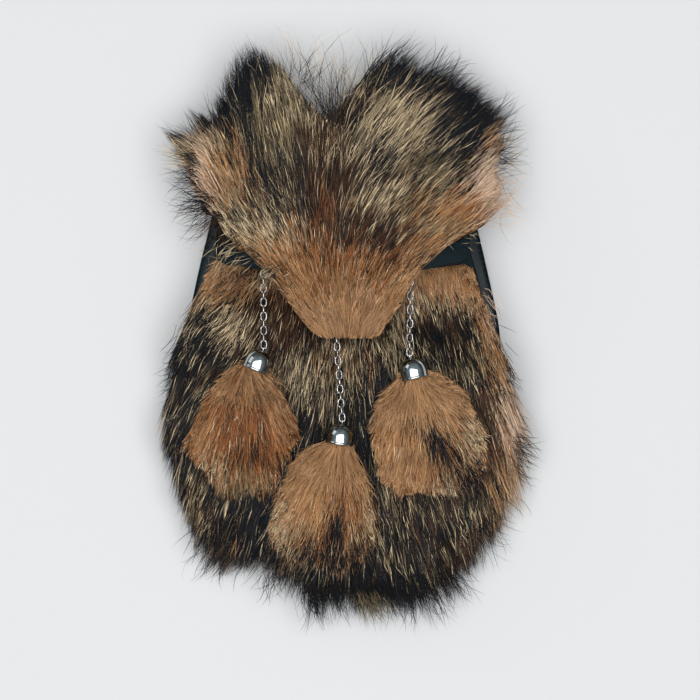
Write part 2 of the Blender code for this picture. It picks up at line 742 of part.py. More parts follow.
def make_tassels(metal, links, fur):
    for row in zip(*TASSELS.values()):
        name, cap, cap_lean, spot, count, lean, length, width = row
        turn = radians(cap_lean)
        axis = Vector((-sin(turn), cos(turn), 0.0))
        rim = Vector((*cap, CAP_Z)) - axis * CAP_MIDDLE
        eye = make_cap("cap_" + name, rim, axis, metal)
        ring = chain_top(eye, spot, count)
        make_anchor("anchor_" + name, ring, links)
        make_chain("chain_" + name, ring, eye, count, links)
        make_tassel("tassel_" + name, rim, axis, lean, length, width, fur)


def stand(pieces):
    """Parents every piece to an empty that moves the middle of the part's footprint to the origin."""
    corners = np.array([v.co for piece in pieces for v in piece.data.vertices])
    low, high = corners.min(axis=0), corners.max(axis=0)
    base = bpy.data.objects.new("sporran", None)
    bpy.context.scene.collection.objects.link(base)
    base.location = (-(low[0] + high[0]) / 2, -(low[1] + high[1]) / 2, -low[2])
    for piece in pieces:
        piece.parent = base


def main():
    for old in list(bpy.data.objects):
        bpy.data.objects.remove(old)
    leather = material("black_leather", (0.012, 0.016, 0.022), 0.42)
    front_fur = material("front_fur", (0.17, 0.12, 0.075), 0.85)
    flap_fur = material("flap_fur", (0.36, 0.24, 0.13), 0.85)
    tassel_fur = material("tassel_fur", (0.45, 0.24, 0.11), 0.85)
    bright = material("bright_metal", (0.80, 0.80, 0.80), 0.12, 1.0)
    dull = material("dull_metal", (0.42, 0.41, 0.40), 0.35, 1.0)
    make_back_panel(leather)
    make_gusset(leather)
    make_front_panel(leather)
    make_belt_loops(leather)
    make_flap_leather(leather)
    make_front_fur(front_fur)
    make_flap_fur(flap_fur)
    make_tassels(bright, dull, tassel_fur)
    stand([o for o in bpy.data.objects if o.type == "MESH"])


main()
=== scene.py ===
"""Dresses a fur sporran that lies on its back: combed pelts and tassels, black leather, bright caps."""

from collections import namedtuple
from functools import partial
from math import cos, pi, radians, sin
from types import SimpleNamespace

import bmesh
import bpy
import numpy as np
from mathutils import Matrix, Vector
from mathutils.bvhtree import BVHTree
from mathutils.kdtree import KDTree


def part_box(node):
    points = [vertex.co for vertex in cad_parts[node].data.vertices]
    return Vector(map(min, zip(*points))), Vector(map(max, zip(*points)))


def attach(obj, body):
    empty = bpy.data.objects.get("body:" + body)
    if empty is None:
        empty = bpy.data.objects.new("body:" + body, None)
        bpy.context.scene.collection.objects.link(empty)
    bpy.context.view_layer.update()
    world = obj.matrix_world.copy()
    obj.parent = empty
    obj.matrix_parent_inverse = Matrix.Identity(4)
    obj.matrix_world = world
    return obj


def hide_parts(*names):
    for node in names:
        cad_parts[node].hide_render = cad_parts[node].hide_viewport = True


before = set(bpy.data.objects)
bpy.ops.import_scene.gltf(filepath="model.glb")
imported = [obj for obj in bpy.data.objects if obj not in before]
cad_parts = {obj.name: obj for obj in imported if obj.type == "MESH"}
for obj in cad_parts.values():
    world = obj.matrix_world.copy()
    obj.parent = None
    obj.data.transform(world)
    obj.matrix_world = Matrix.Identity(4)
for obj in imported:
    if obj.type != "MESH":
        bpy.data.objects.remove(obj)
bpy.ops.object.select_all(action="DESELECT")
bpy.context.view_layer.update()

MM = 0.001  # every size below is in millimetres
TINY = 1e-6

# Coats: the colour of a hair near its root, along its body and at its tip, as linear values
# The dark root colours are partly each coat's own banding and partly painted shade, for the shade deep
# in the coat between the tufts
COATS = {
    "black": ((0.008, 0.007, 0.007), (0.009, 0.011, 0.014), (0.006, 0.008, 0.014)),
    "brown": ((0.020, 0.011, 0.007), (0.085, 0.038, 0.020), (0.030, 0.016, 0.011)),
    "olive": ((0.010, 0.008, 0.007), (0.250, 0.190, 0.100), (0.025, 0.022, 0.018)),
    "straw": ((0.016, 0.011, 0.008), (0.650, 0.500, 0.305), (0.120, 0.085, 0.055)),
    "tan": ((0.255, 0.126, 0.052), (0.455, 0.232, 0.098), (0.740, 0.470, 0.260)),
    "orange": ((0.145, 0.050, 0.015), (0.320, 0.112, 0.034), (0.640, 0.330, 0.150)),
    "cream": ((0.480, 0.320, 0.220), (0.680, 0.480, 0.340), (0.720, 0.560, 0.430)),
    "drab": ((0.330, 0.180, 0.086), (0.390, 0.215, 0.105), (0.460, 0.280, 0.148)),
    "camel": ((0.300, 0.160, 0.074), (0.425, 0.232, 0.108), (0.700, 0.450, 0.260)),
}
COAT_NAMES = tuple(COATS)
BAND_START, BAND_END = (0.44, 0.74), (0.80, 0.94)
SHADES = (0.32, 1.72)

# A hair is a flat ribbon: its width along it, and how far it may be turned about its length
RIBBON = {"along": (0.0, 0.35, 0.7, 1.0), "width": (0.8, 1.0, 0.75, 0.0)}
SHORT_RIBBON = (0.0, 0.5, 1.0)
ROLL, HAIR_MAP_WIDTH = radians(38.0), 0.25 / 1024
# How hair varies: its share of the pelt's length and of the layer's width, its bend and its shade
LENGTHS, WIDTHS, BEND, HAIR_SHADE, CLUMP_SHADE = (0.72, 1.12), (0.7, 1.3), 0.16, (0.5, 0.20), (0, 0.19)
WISP_LENGTHS, WISP_WIDTHS, WISP_BEND, WISP_SHADE = (0.5, 1.15), (0.20, 0.34), 0.8, (0.55, 0.2)
# How far hair reaches, by its clump and by itself, how much an edge may stretch it, its least length
CLUMP_REACH, HAIR_REACH, LONGER, SHORTEST = 0.6, 0.4, 1.9, 3.0
# How late along it a hair bends to its clump, or to its spike near the edge, and what is near
CLUMP_BEND, SPIKE_BEND, SPIKE_FROM, SPIKE_OVER = 1.4, 2.4, 0.76, 0.2
# The part of its length over which it leaves the skin, and what its tip and root say in its coat
RISE, TIP_SHARE, ROOT_SHARE = 0.45, 0.7, 0.3
WOOL_UNDER, FLOOR_CLEAR, ABOVE = 2.6, 0.35, 5.0
# A layer of hair: how much a clump pulls, how thick the layer is, how far its tips lift and reach
# (1 is the outline), how near the edge it grows (0 for anywhere) and how far its lie strays
Layer = namedtuple("Layer", "name count clumps pull thick width lift reach edge stray")

# Front pelt. An outline goes round its centre through the tips of the hair.
FRONT_CENTRE = (0, -36)
FRONT_OUTLINE = (
    (-66, 54), (-74, 53), (-80, 45), (-85, 36), (-90, 26), (-95, 15), (-101, 3), (-106, -8),
    (-110, -21), (-114, -41), (-117, -61), (-112, -77), (-107, -89), (-104, -99), (-97, -117),
    (-88, -137), (-71, -145), (-55, -140), (-46, -150), (-27, -158), (-19, -173), (-13, -164),
    (1, -168), (16, -177), (20, -158), (29, -173), (33, -165), (48, -175), (46, -156), (55, -158),
    (66, -161), (66, -146), (76, -150), (82, -129), (99, -115), (97, -105), (107, -105), (110, -84),
    (113, -71), (119, -58), (112, -48), (106, -34), (100, -20), (94, -5), (88, 7), (82, 20), (78, 30),
    (75, 41), (66, 46),
)
# The lie of the hair in degrees from +Y, in rows across at some heights
FRONT_TURN = {
    "x": (-118, -105, -92, -78, -62, -46, -25, -5, 15, 32, 46, 62, 78, 93, 108, 120),
    "y": (-95, 0),
    "lies": (
        (196, 196, 196, 200, 203, 202, 200, 183, 171, 165, 162, 162, 165, 167, 160, 156),
        (198, 200, 208, 222, 214, 194, 190, 181, 172, 168, 166, 167, 163, 158, 151, 148),
    ),
}
FRONT_LENGTH = (-150, -60, 0, 25, 56), (38, 39, 35, 24, 16)
FRONT_BASE = {"black": 0.52, "olive": 0.16, "straw": 0.18, "brown": 0.14}
# Patches of each coat: middle x and y, half width, half height, weight
FRONT_PATCHES = {
    "drab": ((-68, 41, 24, 13, 14), (57, 27, 26, 9, 5)),
    "straw": (
        (-80, 15, 18, 9, 2.6), (-66, 6, 16, 9, 2.2), (-17, -20, 30, 13, 1.2), (54, 18, 24, 7, 2),
        (31, 4, 8, 12, 1.2), (-92, -108, 12, 16, 0.2),
    ),
    "tan": (
        (-88, 25, 12, 8, 3), (-114, -46, 5, 30, 2.5), (86, 14, 6, 18, 2.6), (94, -12, 8, 18, 1.6),
        (100, -70, 6, 12, 2), (98, -100, 9, 16, 1.4), (-78, -128, 14, 12, 0.3),
    ),
    "black": (
        (-90, 4, 9, 14, 5), (-101, -34, 8, 34, 3), (15, -48, 9, 22, 5), (56, 2, 20, 10, 1),
        (117, -42, 4, 22, 5), (74, -66, 9, 14, 2), (54, -128, 18, 14, 1.4), (-4, -156, 30, 10, 2),
        (-58, -116, 18, 14, 5), (-24, -58, 10, 12, 1.5), (-50, -104, 20, 16, 1.6),
        (6, -146, 44, 12, 3),
    ),
    "brown": (
        (-50, 22, 16, 16, 5), (-38, 2, 14, 9, 3), (60, 8, 20, 10, 1), (83, -58, 9, 22, 3),
        (73, -132, 20, 12, 1.4),
    ),
    "orange": ((2, -16, 16, 6, 1), (60, 34, 24, 8, 3)),
    "camel": ((58, 40, 28, 10, 16),),
    "cream": ((103, -54, 6, 20, 20),),
}

# Flap pelt
RUFF_CENTRE = (0, 34)
RUFF_OUTLINE = (
    (-85, 78), (-96, 92), (-99, 106), (-113, 124), (-104, 124), (-93, 119), (-97, 136), (-86, 133),
    (-79, 134), (-80, 146), (-71, 146), (-73, 156), (-69, 163), (-58, 175), (-48, 168), (-41, 166),
    (-34, 156), (-26, 143), (-16, 132), (-6, 136), (1, 141), (8, 151), (14, 161), (20, 170),
    (31, 178), (40, 174), (44, 163), (51, 159), (58, 163), (66, 160), (70, 153), (78, 152),
    (82, 143), (98, 133), (91, 124), (94, 113), (89, 101), (93, 80), (84, 67), (65, 58), (49, 47),
    (45, 43), (38, 33), (32, 21), (27, 12), (21, 2), (13, -2), (0, -3), (-12, -2), (-20, 1),
    (-29, 12), (-37, 22), (-47, 31), (-57, 43), (-67, 54), (-76, 67),
)
RUFF_TURN = {
    "x": (-110, -104, -89, -74, -59, -44, -29, -14, 1, 16, 31, 46, 61, 76, 91, 110),
    "y": (12, 45, 95),
    "lies": (
        (-60, -58, -54, -54, -50, -46, -40, -28, 0, 29, 36, 46, 50, 52, 54, 56),
        (-60, -58, -54, -56, -50, -36, -26, -2, 7, 28, 37, 48, 52, 50, 58, 60),
        (-60, -57, -46, -24, -13, -15, -12, 4, 25, 34, 38, 46, 50, 46, 54, 58),
    ),
}
RUFF_LENGTH = (0, 20, 45, 80, 110, 130), (9, 13, 24, 40, 52, 62)
RUFF_BASE = {"black": 0.36, "olive": 0.18, "straw": 0.32, "brown": 0.14}
RUFF_PATCHES = {
    "drab": ((-2, 2, 34, 9, 40), (-72, 94, 18, 10, 1.4)),
    "camel": ((-4, 17, 30, 8, 6),),
    "tan": (
        (-2, 27, 26, 12, 9), (-50, 52, 26, 8, 4), (-80, 102, 20, 14, 2.2), (86, 118, 5, 6, 3),
        (64, 72, 18, 9, 4), (56, 56, 16, 5, 5), (34, 30, 8, 18, 6), (-30, 24, 8, 16, 6),
    ),
    "orange": (
        (-8, 46, 26, 15, 4), (20, 30, 9, 13, 2), (-22, 32, 10, 12, 2), (-15, 76, 7, 20, 1.8),
        (74, 76, 12, 7, 2.5),
    ),
    "black": (
        (12, 60, 14, 8, 3), (-14, 92, 12, 20, 2), (-103, 120, 8, 7, 14), (-46, 100, 22, 14, 1.8),
        (-60, 158, 11, 16, 12), (-70, 141, 12, 8, 9), (-86, 129, 14, 6, 12),
        (-66, 120, 10, 12, 1.6), (25, 162, 9, 9, 16), (36, 150, 9, 5, 8), (4, 132, 5, 9, 6),
        (52, 148, 11, 5, 8), (70, 133, 13, 15, 18), (74, 116, 7, 13, 9), (90, 128, 6, 7, 6),
        (20, 104, 7, 12, 2), (48, 108, 12, 5, 1.6),
    ),
    "brown": (
        (-8, 62, 14, 10, 4), (22, 54, 14, 14, 5), (-12, 96, 12, 26, 4.5), (34, 90, 12, 12, 0.8),
    ),
    "straw": (
        (18, 84, 10, 14, 2), (-8, 112, 14, 14, 1.2), (-58, 60, 28, 8, 3), (-90, 114, 12, 5, 4),
        (-38, 146, 9, 18, 1.2), (12, 146, 7, 12, 1.2), (38, 124, 32, 14, 2.6),
    ),
    "cream": ((-90, 92, 7, 17, 12), (84, 92, 9, 16, 7)),
    "olive": ((-46, 122, 16, 18, 2), (54, 100, 24, 10, 1), (48, 66, 14, 8, 1.6)),
}

FRONT_LAYERS = (
    ("deep", 13500, 900, 0.60, 6.0, 0.60, 0.0, (0.66, 0.90), 0.0, 0.10),
    ("coat", 37000, 9000, 0.76, 2.6, 0.37, 1.5, (0.76, 1.01), 0.0, 0.13),
    ("hem", 18900, 3600, 0.74, 9.0, 0.39, 1.0, (0.84, 1.08), 14.0, 0.14),
    ("guard", 9000, 4200, 0.60, 0.6, 0.31, 4.0, (0.85, 1.11), 0.0, 0.20),
)
RUFF_LAYERS = (
    ("deep", 11000, 800, 0.60, 5.0, 0.58, 0.0, (0.68, 0.92), 0.0, 0.10),
    ("coat", 35000, 8500, 0.76, 2.4, 0.355, 1.5, (0.78, 1.0), 0.0, 0.13),
    ("edge", 14000, 2800, 0.72, 7.0, 0.37, 1.0, (0.88, 1.07), 16.0, 0.14),
    ("guard", 8000, 3800, 0.55, 0.6, 0.30, 4.0, (0.86, 1.12), 0.0, 0.22),
)

# Tassels: the place their hair spreads from, and each one's outline, coats and patches
TASSELS = {
    "left": {
        "start": (-61.0, -15.5), "centre": (-60, -55),
        "outline": (
            (-53, -15), (-60, -13), (-65, -16), (-73, -20), (-81, -28), (-88, -38), (-93, -50),
            (-98, -63), (-96, -74), (-86, -80), (-79, -91), (-70, -101), (-60, -102), (-48, -96),
            (-40, -86), (-35, -72), (-29, -62), (-31, -51), (-33, -42), (-37, -34), (-42, -27),
            (-46, -22), (-48, -18),
        ),
        "base": {"orange": 0.66, "tan": 0.04, "brown": 0.24, "straw": 0.06},
        "patches": {
            "brown": ((-47, -34, 8, 6, 2), (-62, -74, 10, 7, 0.8)),
            "camel": ((-58, -26, 20, 9, 12), (-64, -84, 14, 6, 1)),
            "drab": ((-38, -42, 7, 12, 4),),
            "tan": ((-88, -62, 8, 14, 2),),
            "black": (
                (-56, -69, 6, 7, 1.1), (-60, -99, 26, 7, 3.4), (-36, -80, 6, 8, 3),
                (-88, -84, 8, 8, 2),
            ),
            "straw": ((-81, -79, 8, 9, 1.6),),
            "olive": ((-64, -92, 24, 8, 1.6),),
        },
    },
    "middle": {
        "start": (-4.2, -60.0), "centre": (-14, -102),
        "outline": (
            (-5, -59), (-11, -59.5), (-14, -63.5), (-20, -64), (-26, -65.5), (-32, -69), (-35, -77),
            (-39, -87), (-44, -98), (-49, -111), (-48, -120), (-43, -129), (-32, -137), (-17, -140),
            (1, -141), (13, -137), (16, -122), (17, -108), (16, -97), (14, -86), (9, -76), (6, -69),
            (3, -64), (1, -61),
        ),
        "base": {"tan": 0.52, "orange": 0.22, "straw": 0.16, "brown": 0.10},
        "patches": {
            "camel": ((-8, -73, 26, 13, 40),),
            "tan": ((-24, -96, 16, 14, 3),),
            "orange": ((-2, -94, 10, 12, 2),),
            "black": ((-8, -112, 4, 11, 6), (-10, -132, 26, 9, 6)),
            "brown": ((-10, -98, 4, 10, 2), (6, -128, 10, 8, 1.5)),
            "straw": ((-40, -112, 8, 16, 2), (12, -106, 5, 16, 1.5)),
        },
    },
    "right": {
        "start": (38.0, -21.0), "centre": (48, -62),
        "outline": (
            (39, -20), (33, -21), (28, -25), (22, -29), (16, -38), (13, -52), (15, -70), (19, -86),
            (30, -95), (42, -94), (54, -97), (62, -98), (69, -93), (77, -88), (83, -79), (84, -70),
            (84, -60), (79, -47), (70, -34), (61, -25), (51, -21), (45, -19.5),
        ),
        "base": {"tan": 0.50, "straw": 0.20, "orange": 0.16, "brown": 0.14},
        "patches": {
            "camel": ((43, -33, 30, 14, 30), (38, -82, 16, 10, 3)),
            "drab": ((43, -33, 18, 7, 20),),
            "orange": ((40, -86, 13, 7, 1.6),),
            "tan": ((30, -66, 14, 14, 2),),
            "black": (
                (44, -57, 7, 2.5, 18), (53, -65, 5, 6, 18), (74, -88, 13, 10, 9),
                (30, -97, 20, 4, 2),
            ),
            "brown": ((60, -80, 8, 10, 3),),
            "straw": ((60, -92, 6, 7, 3), (76, -60, 8, 14, 2)),
        },
    },
}
TASSEL_LAYERS = (
    ("deep", 2700, 200, 0.60, 4.0, 0.54, 0.0, (0.56, 0.86), 0.0, 0.12),
    ("coat", 7600, 2200, 0.72, 2.4, 0.34, 1.5, (0.62, 1.10), 0.0, 0.15),
    ("guard", 2600, 1300, 0.45, 0.4, 0.28, 2.4, (0.60, 1.18), 0.0, 0.22),
)

# Loose wisps and tufts: where they start and how far apart, their lie in degrees from +Y and its
# fan, how many, how long, how high they stand over the ground, and their coat
Wisp = namedtuple("Wisp", "x y wide tall lie fan count length high coat")
FLAP_WISPS = (
    (-4, 122, 12, 8, -4, 22, 44, 50, 6, "brown"),
    (-2, 122, 12, 8, 0, 16, 34, 59, 6, "straw"),
    (-8, 128, 10, 6, -14, 20, 40, 44, 5, "black"),
    (14, 138, 8, 10, 12, 16, 40, 44, 5, "black"),
    (-30, 148, 10, 12, 2, 26, 46, 34, 4, "straw"),
    (-86, 96, 6, 12, -84, 22, 90, 24, 2, "black"),
    (-82, 80, 6, 8, -98, 24, 90, 26, 1, "black"),
    (-76, 72, 6, 6, -112, 22, 60, 26, 1, "brown"),
    (-88, 104, 6, 6, -72, 14, 60, 26, 2, "straw"),
    (88, 108, 5, 12, 66, 26, 70, 22, 2, "olive"),
    (86, 82, 6, 14, 72, 30, 60, 24, 2, "cream"),
    (88, 126, 5, 8, 52, 22, 50, 20, 2, "black"),
    (52, 156, 12, 4, 40, 22, 50, 22, 3, "black"),
    (0, 20, 26, 14, 0, 14, 60, 25, 1.5, "cream"),
    (-2, 24, 30, 14, 0, 16, 80, 24, 1.5, "tan"),
    (-62, 58, 10, 6, -130, 14, 34, 24, 3, "straw"),
    (-54, 50, 12, 5, -120, 16, 16, 26, 4, "straw"),
    (-40, 42, 8, 6, -126, 14, 24, 24, 3, "straw"),
    (60, 60, 12, 5, 96, 24, 14, 16, 2, "straw"),
)
FRONT_WISPS = (
    (-68, 48, 9, 4, 208, 10, 420, 15, 3, "drab"),
    (-60, 44, 14, 4, 204, 14, 260, 15, 3, "brown"),
    (-70, 46, 8, 5, 218, 16, 60, 13, 3, "straw"),
    (-92, 8, 4, 18, -140, 16, 50, 18, 1, "straw"),
    (-101, -20, 4, 24, -132, 16, 90, 17, 1, "black"),
    (82, 10, 4, 16, 140, 18, 34, 14, 1, "cream"),
    (94, -22, 4, 18, 142, 16, 50, 13, 1, "black"),
    (101, -68, 4, 20, 128, 18, 90, 17, 1, "black"),
    (2, -144, 34, 8, 180, 20, 90, 24, 1, "black"),
    (-80, -116, 12, 12, -142, 16, 70, 20, 1, "black"),
    (82, -112, 12, 12, 142, 16, 60, 20, 1, "black"),
    (-72, -132, 18, 6, -148, 12, 90, 18, 1, "black"),
    (-42, -144, 10, 6, -160, 18, 50, 18, 1, "black"),
    (-20, -149, 7, 4, 176, 6, 110, 28, 1, "black"),
    (-7, -149, 5, 4, 172, 6, 50, 25, 1, "black"),
    (8, -147, 9, 4, 158, 7, 130, 29, 1, "olive"),
    (10, -148, 8, 4, 156, 6, 60, 29, 1, "black"),
    (24, -148, 6, 4, 164, 6, 60, 26, 1, "black"),
    (36, -149, 5, 4, 174, 5, 40, 29, 1, "black"),
    (44, -147, 8, 4, 158, 7, 90, 29, 1, "black"),
    (58, -141, 8, 5, 146, 12, 60, 26, 1, "black"),
)

# Flap leather's free edge, from the fold down the front to the tongue, as half widths about a middle
FLAP_MIDDLE_X = -3.05
FLAP_EDGE = {
    "y": (108, 99, 79, 62, 52, 46, 43, 40, 34, 24, 12, 4, 1),
    "half": (67.5, 70, 74, 76, 76, 75, 70, 47, 40.5, 35, 25, 17, 10),
}
STITCH = {"step": 3.6, "long": 2.5, "thick": 0.55, "in": 3.2, "proud": 0.12}
PIPING, PIPING_IN = 0.95, 0.9
# Seams round the gusset: the panel each joins, which way up it lies and how far in it is looked for
GUSSET_SEAMS = (("back_panel", -1, 6.0), ("front_panel", 1, 16.0))
GUSSET_MIDDLE, GUSSET_TURN, GUSSET_TRIES, OUTSIDE = (-3.05, -5.0, 15.0), 149.0, 181, 160.0
LOOP_MIDDLES, LOOP_ENDS, LOOP_HALF = {"left": -41.05, "right": 34.95}, (96.5, 51.5), 10.0
# How uneven each piece of leather is, and how often it is smoothed
LEATHER_WORK = {
    "back_panel": (0.5, 1), "gusset": (0.7, 2), "front_panel": (0.3, 1), "flap_leather": (0.7, 2),
    "belt_loop_left": (0.3, 1), "belt_loop_right": (0.3, 1),
}
# Looks: dark and light colours, then for wool its pale end's colour and where that begins and is
# full, for leather its gloss, pebbles and creases, and for metal its gloss and the size of stains
WOOLS = {
    "front": ((0.005, 0.004, 0.004), (0.020, 0.013, 0.008), (0.24, 0.14, 0.075), 16, 34),
    "flap": ((0.006, 0.005, 0.004), (0.030, 0.017, 0.010), (0.36, 0.21, 0.105), 44, 16),
    "tassel": ((0.050, 0.026, 0.013), (0.16, 0.085, 0.042), (0.30, 0.17, 0.085), -60, -30),
}
LEATHERS = {
    "black leather": ((0.003, 0.009, 0.012), (0.007, 0.019, 0.025), (0.36, 0.55), 1.0, 1.6),
    "leather edge": ((0.004, 0.006, 0.008), (0.012, 0.016, 0.020), (0.30, 0.45), 0.6, 0.8),
    "waxed thread": ((0.012, 0.014, 0.016), (0.030, 0.034, 0.036), (0.45, 0.6), 0.3, 0.0),
}
METALS = {
    "bright chrome": ((0.32, 0.35, 0.35), (0.52, 0.56, 0.56), (0.12, 0.05), 420.0),
    "dull nickel": ((0.09, 0.09, 0.09), (0.49, 0.48, 0.47), (0.36, 0.14), 900.0),
}

# Caps: half-section of the dome from the lip inside its mouth to the crown, and the turn of each
CAP_SECTION = {
    "r": (6.6, 7.2, 7.8, 8.25, 8.4, 8.3, 8.1, 8.15, 8.2, 8.1, 7.8, 7.2, 6.3, 5.0, 3.3, 1.4, 0.0),
    "h": (3.0, 0.3, -0.2, 0.0, 0.5, 1.0, 1.3, 1.7, 3.4, 5.2, 6.9, 8.5, 9.9, 11.1, 11.9, 12.25, 12.3),
}
CAPS = {
    "left": {"at": (-53.25, -14.3), "lean": -24.0},
    "middle": {"at": (-4.45, -58.2), "lean": -8.0},
    "right": {"at": (38.55, -19.1), "lean": 15.0},
}
CAP_Z, CAP_MIDDLE = 56.8, 6.0
CAP_TURNS = 48
EYE = {"up": 13.7, "radius": 1.9, "wire": 1.0}
LINK = {"long": 5.0, "wide": 3.3, "wire": 1.08, "count": 13, "step": 4.25}
ANCHOR_RING_DOWN = 2.6

# Light and camera: the photograph's middle and width on the part, seen from straight above
VIEW_MIDDLE, VIEW_WIDTH, VIEW_HEIGHT, VIEW_LEVEL = (1.15, -8.0), 420.0, 2000.0, 40.0
# Each light's place, width, length and power, in metres and watts
LIGHTS = (
    ("ceiling window", (0.0, -0.2, 2.3), 2.8, 2.0, 72.0),
    ("side window", (-2.3, 1.6, 1.3), 1.4, 1.4, 7.0),
)
PAPER, ROOM, ROOM_LIGHT = (0.63, 0.63, 0.63), (0.84, 0.93, 1.0), (0.08, 0.42)


# Materials


def feed(node, inputs):
    """Gives a node's inputs their values, or what another node puts out."""
    for key, value in inputs.items():
        if isinstance(value, bpy.types.NodeSocket):
            node.id_data.links.new(value, node.inputs[key])
        else:
            node.inputs[key].default_value = value
    return node


def add(tree, kind, inputs=None, **settings):
    """What a new shader node with these settings and inputs puts out."""
    node = tree.nodes.new("ShaderNode" + kind)
    for key, value in settings.items():
        setattr(node, key, value)
    return feed(node, inputs or {}).outputs


def ramp(tree, value, stops, blend="LINEAR"):
    """A colour looked up between stops, each a place and its colour."""
    colour = add(tree, "ValToRGB", {"Fac": value})["Color"]
    line = colour.node.color_ramp
    line.interpolation = blend
    for k, (place, shade) in enumerate(stops):
        stop = line.elements[k] if k < 2 else line.elements.new(place)
        stop.position, stop.color = place, (*shade, 1)
    return colour


def spread(tree, value, start, end, low=0.0, high=1.0, blend="LINEAR"):
    """A value stretched from one range to another."""
    ranges = {"Value": value, "From Min": start, "From Max": end, "To Min": low, "To Max": high}
    return add(tree, "MapRange", ranges, interpolation_type=blend)["Result"]


def mixed(tree, share, first, second):
    """Two colours mixed by a share of the second."""
    return add(tree, "Mix", {"Factor": share, 6: first, 7: second}, data_type="RGBA")[2]


def worked_out(tree, operation, *values, kind="Math"):
    """What a sum of values comes to."""
    return add(tree, kind, dict(enumerate(values)), operation=operation)[0]


def noise(tree, place, scale, detail, **more):
    """Cloudy noise over a place."""
    return add(tree, "TexNoise", {"Vector": place, "Scale": scale, "Detail": detail, **more})


def relief_of(tree, height, strength, depth):
    """The normal of a surface with this relief."""
    amounts = {"Height": height, "Strength": strength, "Distance": depth * MM}
    return add(tree, "Bump", amounts)["Normal"]


def new_group(name, given, put_out):
    """A node group with its named inputs and outputs, and the nodes that stand for them."""
    group = bpy.data.node_groups.new(name, "ShaderNodeTree")
    for way, sockets in (("INPUT", given), ("OUTPUT", put_out)):
        for socket in sockets:
            kind = "NodeSocketColor" if socket == "Color" else "NodeSocketFloat"
            group.interface.new_socket(socket, in_out=way, socket_type=kind)
    return group, group.nodes.new("NodeGroupInput").outputs, group.nodes.new("NodeGroupOutput")


def new_material(name):
    """A Principled material, with its tree and shader."""
    made = bpy.data.materials.new(name)
    made.use_nodes = True
    return made, made.node_tree, made.node_tree.nodes["Principled BSDF"]


def coat_group():
    """Hair colour from the hair map: across it the coats side by side, up it from root to tip."""
    group, given, out = new_group("coat colour", ("Across", "Along"), ("Color",))
    places = np.arange(len(COATS)) / len(COATS)
    # The root colours, darker than the body, are partly the coats' banding and partly painted shade
    # deep in the coat
    root, *others = zip(*COATS.values())
    colour = ramp(group, given["Across"], zip(places, root), "CONSTANT")
    for part, band in zip(others, (BAND_START, BAND_END)):
        share = spread(group, given["Along"], *band, blend="SMOOTHSTEP")
        part = ramp(group, given["Across"], zip(places, part), "CONSTANT")
        colour = mixed(group, share, colour, part)
    steps = worked_out(group, "MULTIPLY", given["Across"], len(COATS))
    shade = spread(group, worked_out(group, "FRACT", steps), 0.0, 1.0, *SHADES)
    lit = add(group, "VectorMath", {0: colour, "Scale": shade}, operation="SCALE")
    feed(out, {"Color": lit[0]})
    return group


def hair_material(name, group):
    """Hair in the coats' colours, with a soft gloss."""
    made, tree, shader = new_material(name)
    spot = add(tree, "SeparateXYZ", {0: add(tree, "UVMap", uv_map="OFBake")["UV"]})
    coat = add(tree, "Group", {"Across": spot["X"], "Along": spot["Y"]}, node_tree=group)
    feed(shader, {"Base Color": coat["Color"], "Roughness": 0.5, "Specular IOR Level": 0.14})
    return made


def wool_material(name, dark, light, pale, pale_from, pale_to):
    """The dense wool under the hair: streaks in two colours, and paler toward one end of the pelt."""
    made, tree, shader = new_material(name)
    spot = add(tree, "TexCoord")["Object"]
    stretched = add(tree, "Mapping", {"Vector": spot, "Scale": (900, 160, 300)})["Vector"]
    streaks = noise(tree, stretched, 1.0, 3.0)["Fac"]
    fur = ramp(tree, streaks, ((0.38, dark), (0.68, light)))
    up = add(tree, "SeparateXYZ", {0: spot})["Y"]
    zone = spread(tree, up, pale_from * MM, pale_to * MM, blend="SMOOTHSTEP")
    feed(shader, {
        "Base Color": mixed(tree, zone, fur, (*pale, 1)), "Normal": relief_of(tree, streaks, 0.8, 0.8),
        "Roughness": 0.95, "Specular IOR Level": 0.1,
    })
    return made


def grain_group():
    """Leather grain: fine pebbles, pores and long soft creases, as a height and a patchy mask."""
    group, given, out = new_group("leather grain", ("Pebbles", "Creases"), ("Height", "Patches"))
    spot = add(group, "TexCoord")["Object"]
    wander = noise(group, spot, 260.0, 2.0)["Color"]
    moved = worked_out(group, "MULTIPLY_ADD", wander, (0.0012,) * 3, spot, kind="VectorMath")
    cells = add(group, "TexVoronoi", {"Vector": moved, "Scale": 1050.0}, feature="SMOOTH_F1")
    long = add(group, "Mapping", {"Vector": spot, "Scale": (1.0, 0.35, 1.0)})["Vector"]
    folds = noise(group, long, 120.0, 4.0, Distortion=1.2)["Fac"]
    wide = worked_out(group, "MULTIPLY", folds, given["Creases"])
    fine = worked_out(group, "MULTIPLY", cells["Distance"], given["Pebbles"])
    feed(out, {
        "Height": worked_out(group, "SUBTRACT", wide, fine),
        "Patches": noise(group, spot, 34.0, 5.0, Roughness=0.6)["Fac"],
    })
    return group


def leather_material(name, grain, deep, worn, gloss, pebbles, creases):
    """Dyed leather: its grain, a dye that wears paler in patches and a waxed gloss that varies."""
    made, tree, shader = new_material(name)
    given = add(tree, "Group", {"Pebbles": pebbles, "Creases": creases}, node_tree=grain)
    feed(shader, {
        "Base Color": ramp(tree, given["Patches"], ((0.40, deep), (0.72, worn))),
        "Roughness": spread(tree, given["Patches"], 0.3, 0.7, *gloss),
        "Normal": relief_of(tree, given["Height"], 0.55, 0.25), "Specular IOR Level": 0.05,
    })
    return made


def metal_material(name, dull, bright, gloss, scale):
    """Plated metal: polished, with smears and a darker tarnish in patches."""
    made, tree, shader = new_material(name)
    stains = noise(tree, add(tree, "TexCoord")["Object"], scale, 5.0, Roughness=0.6)["Fac"]
    feed(shader, {
        "Base Color": ramp(tree, stains, ((0.36, dull), (0.60, bright))), "Metallic": 1.0,
        "Roughness": spread(tree, stains, 0.35, 0.65, *gloss),
        "Normal": relief_of(tree, stains, 0.12, 0.05),
    })
    return made


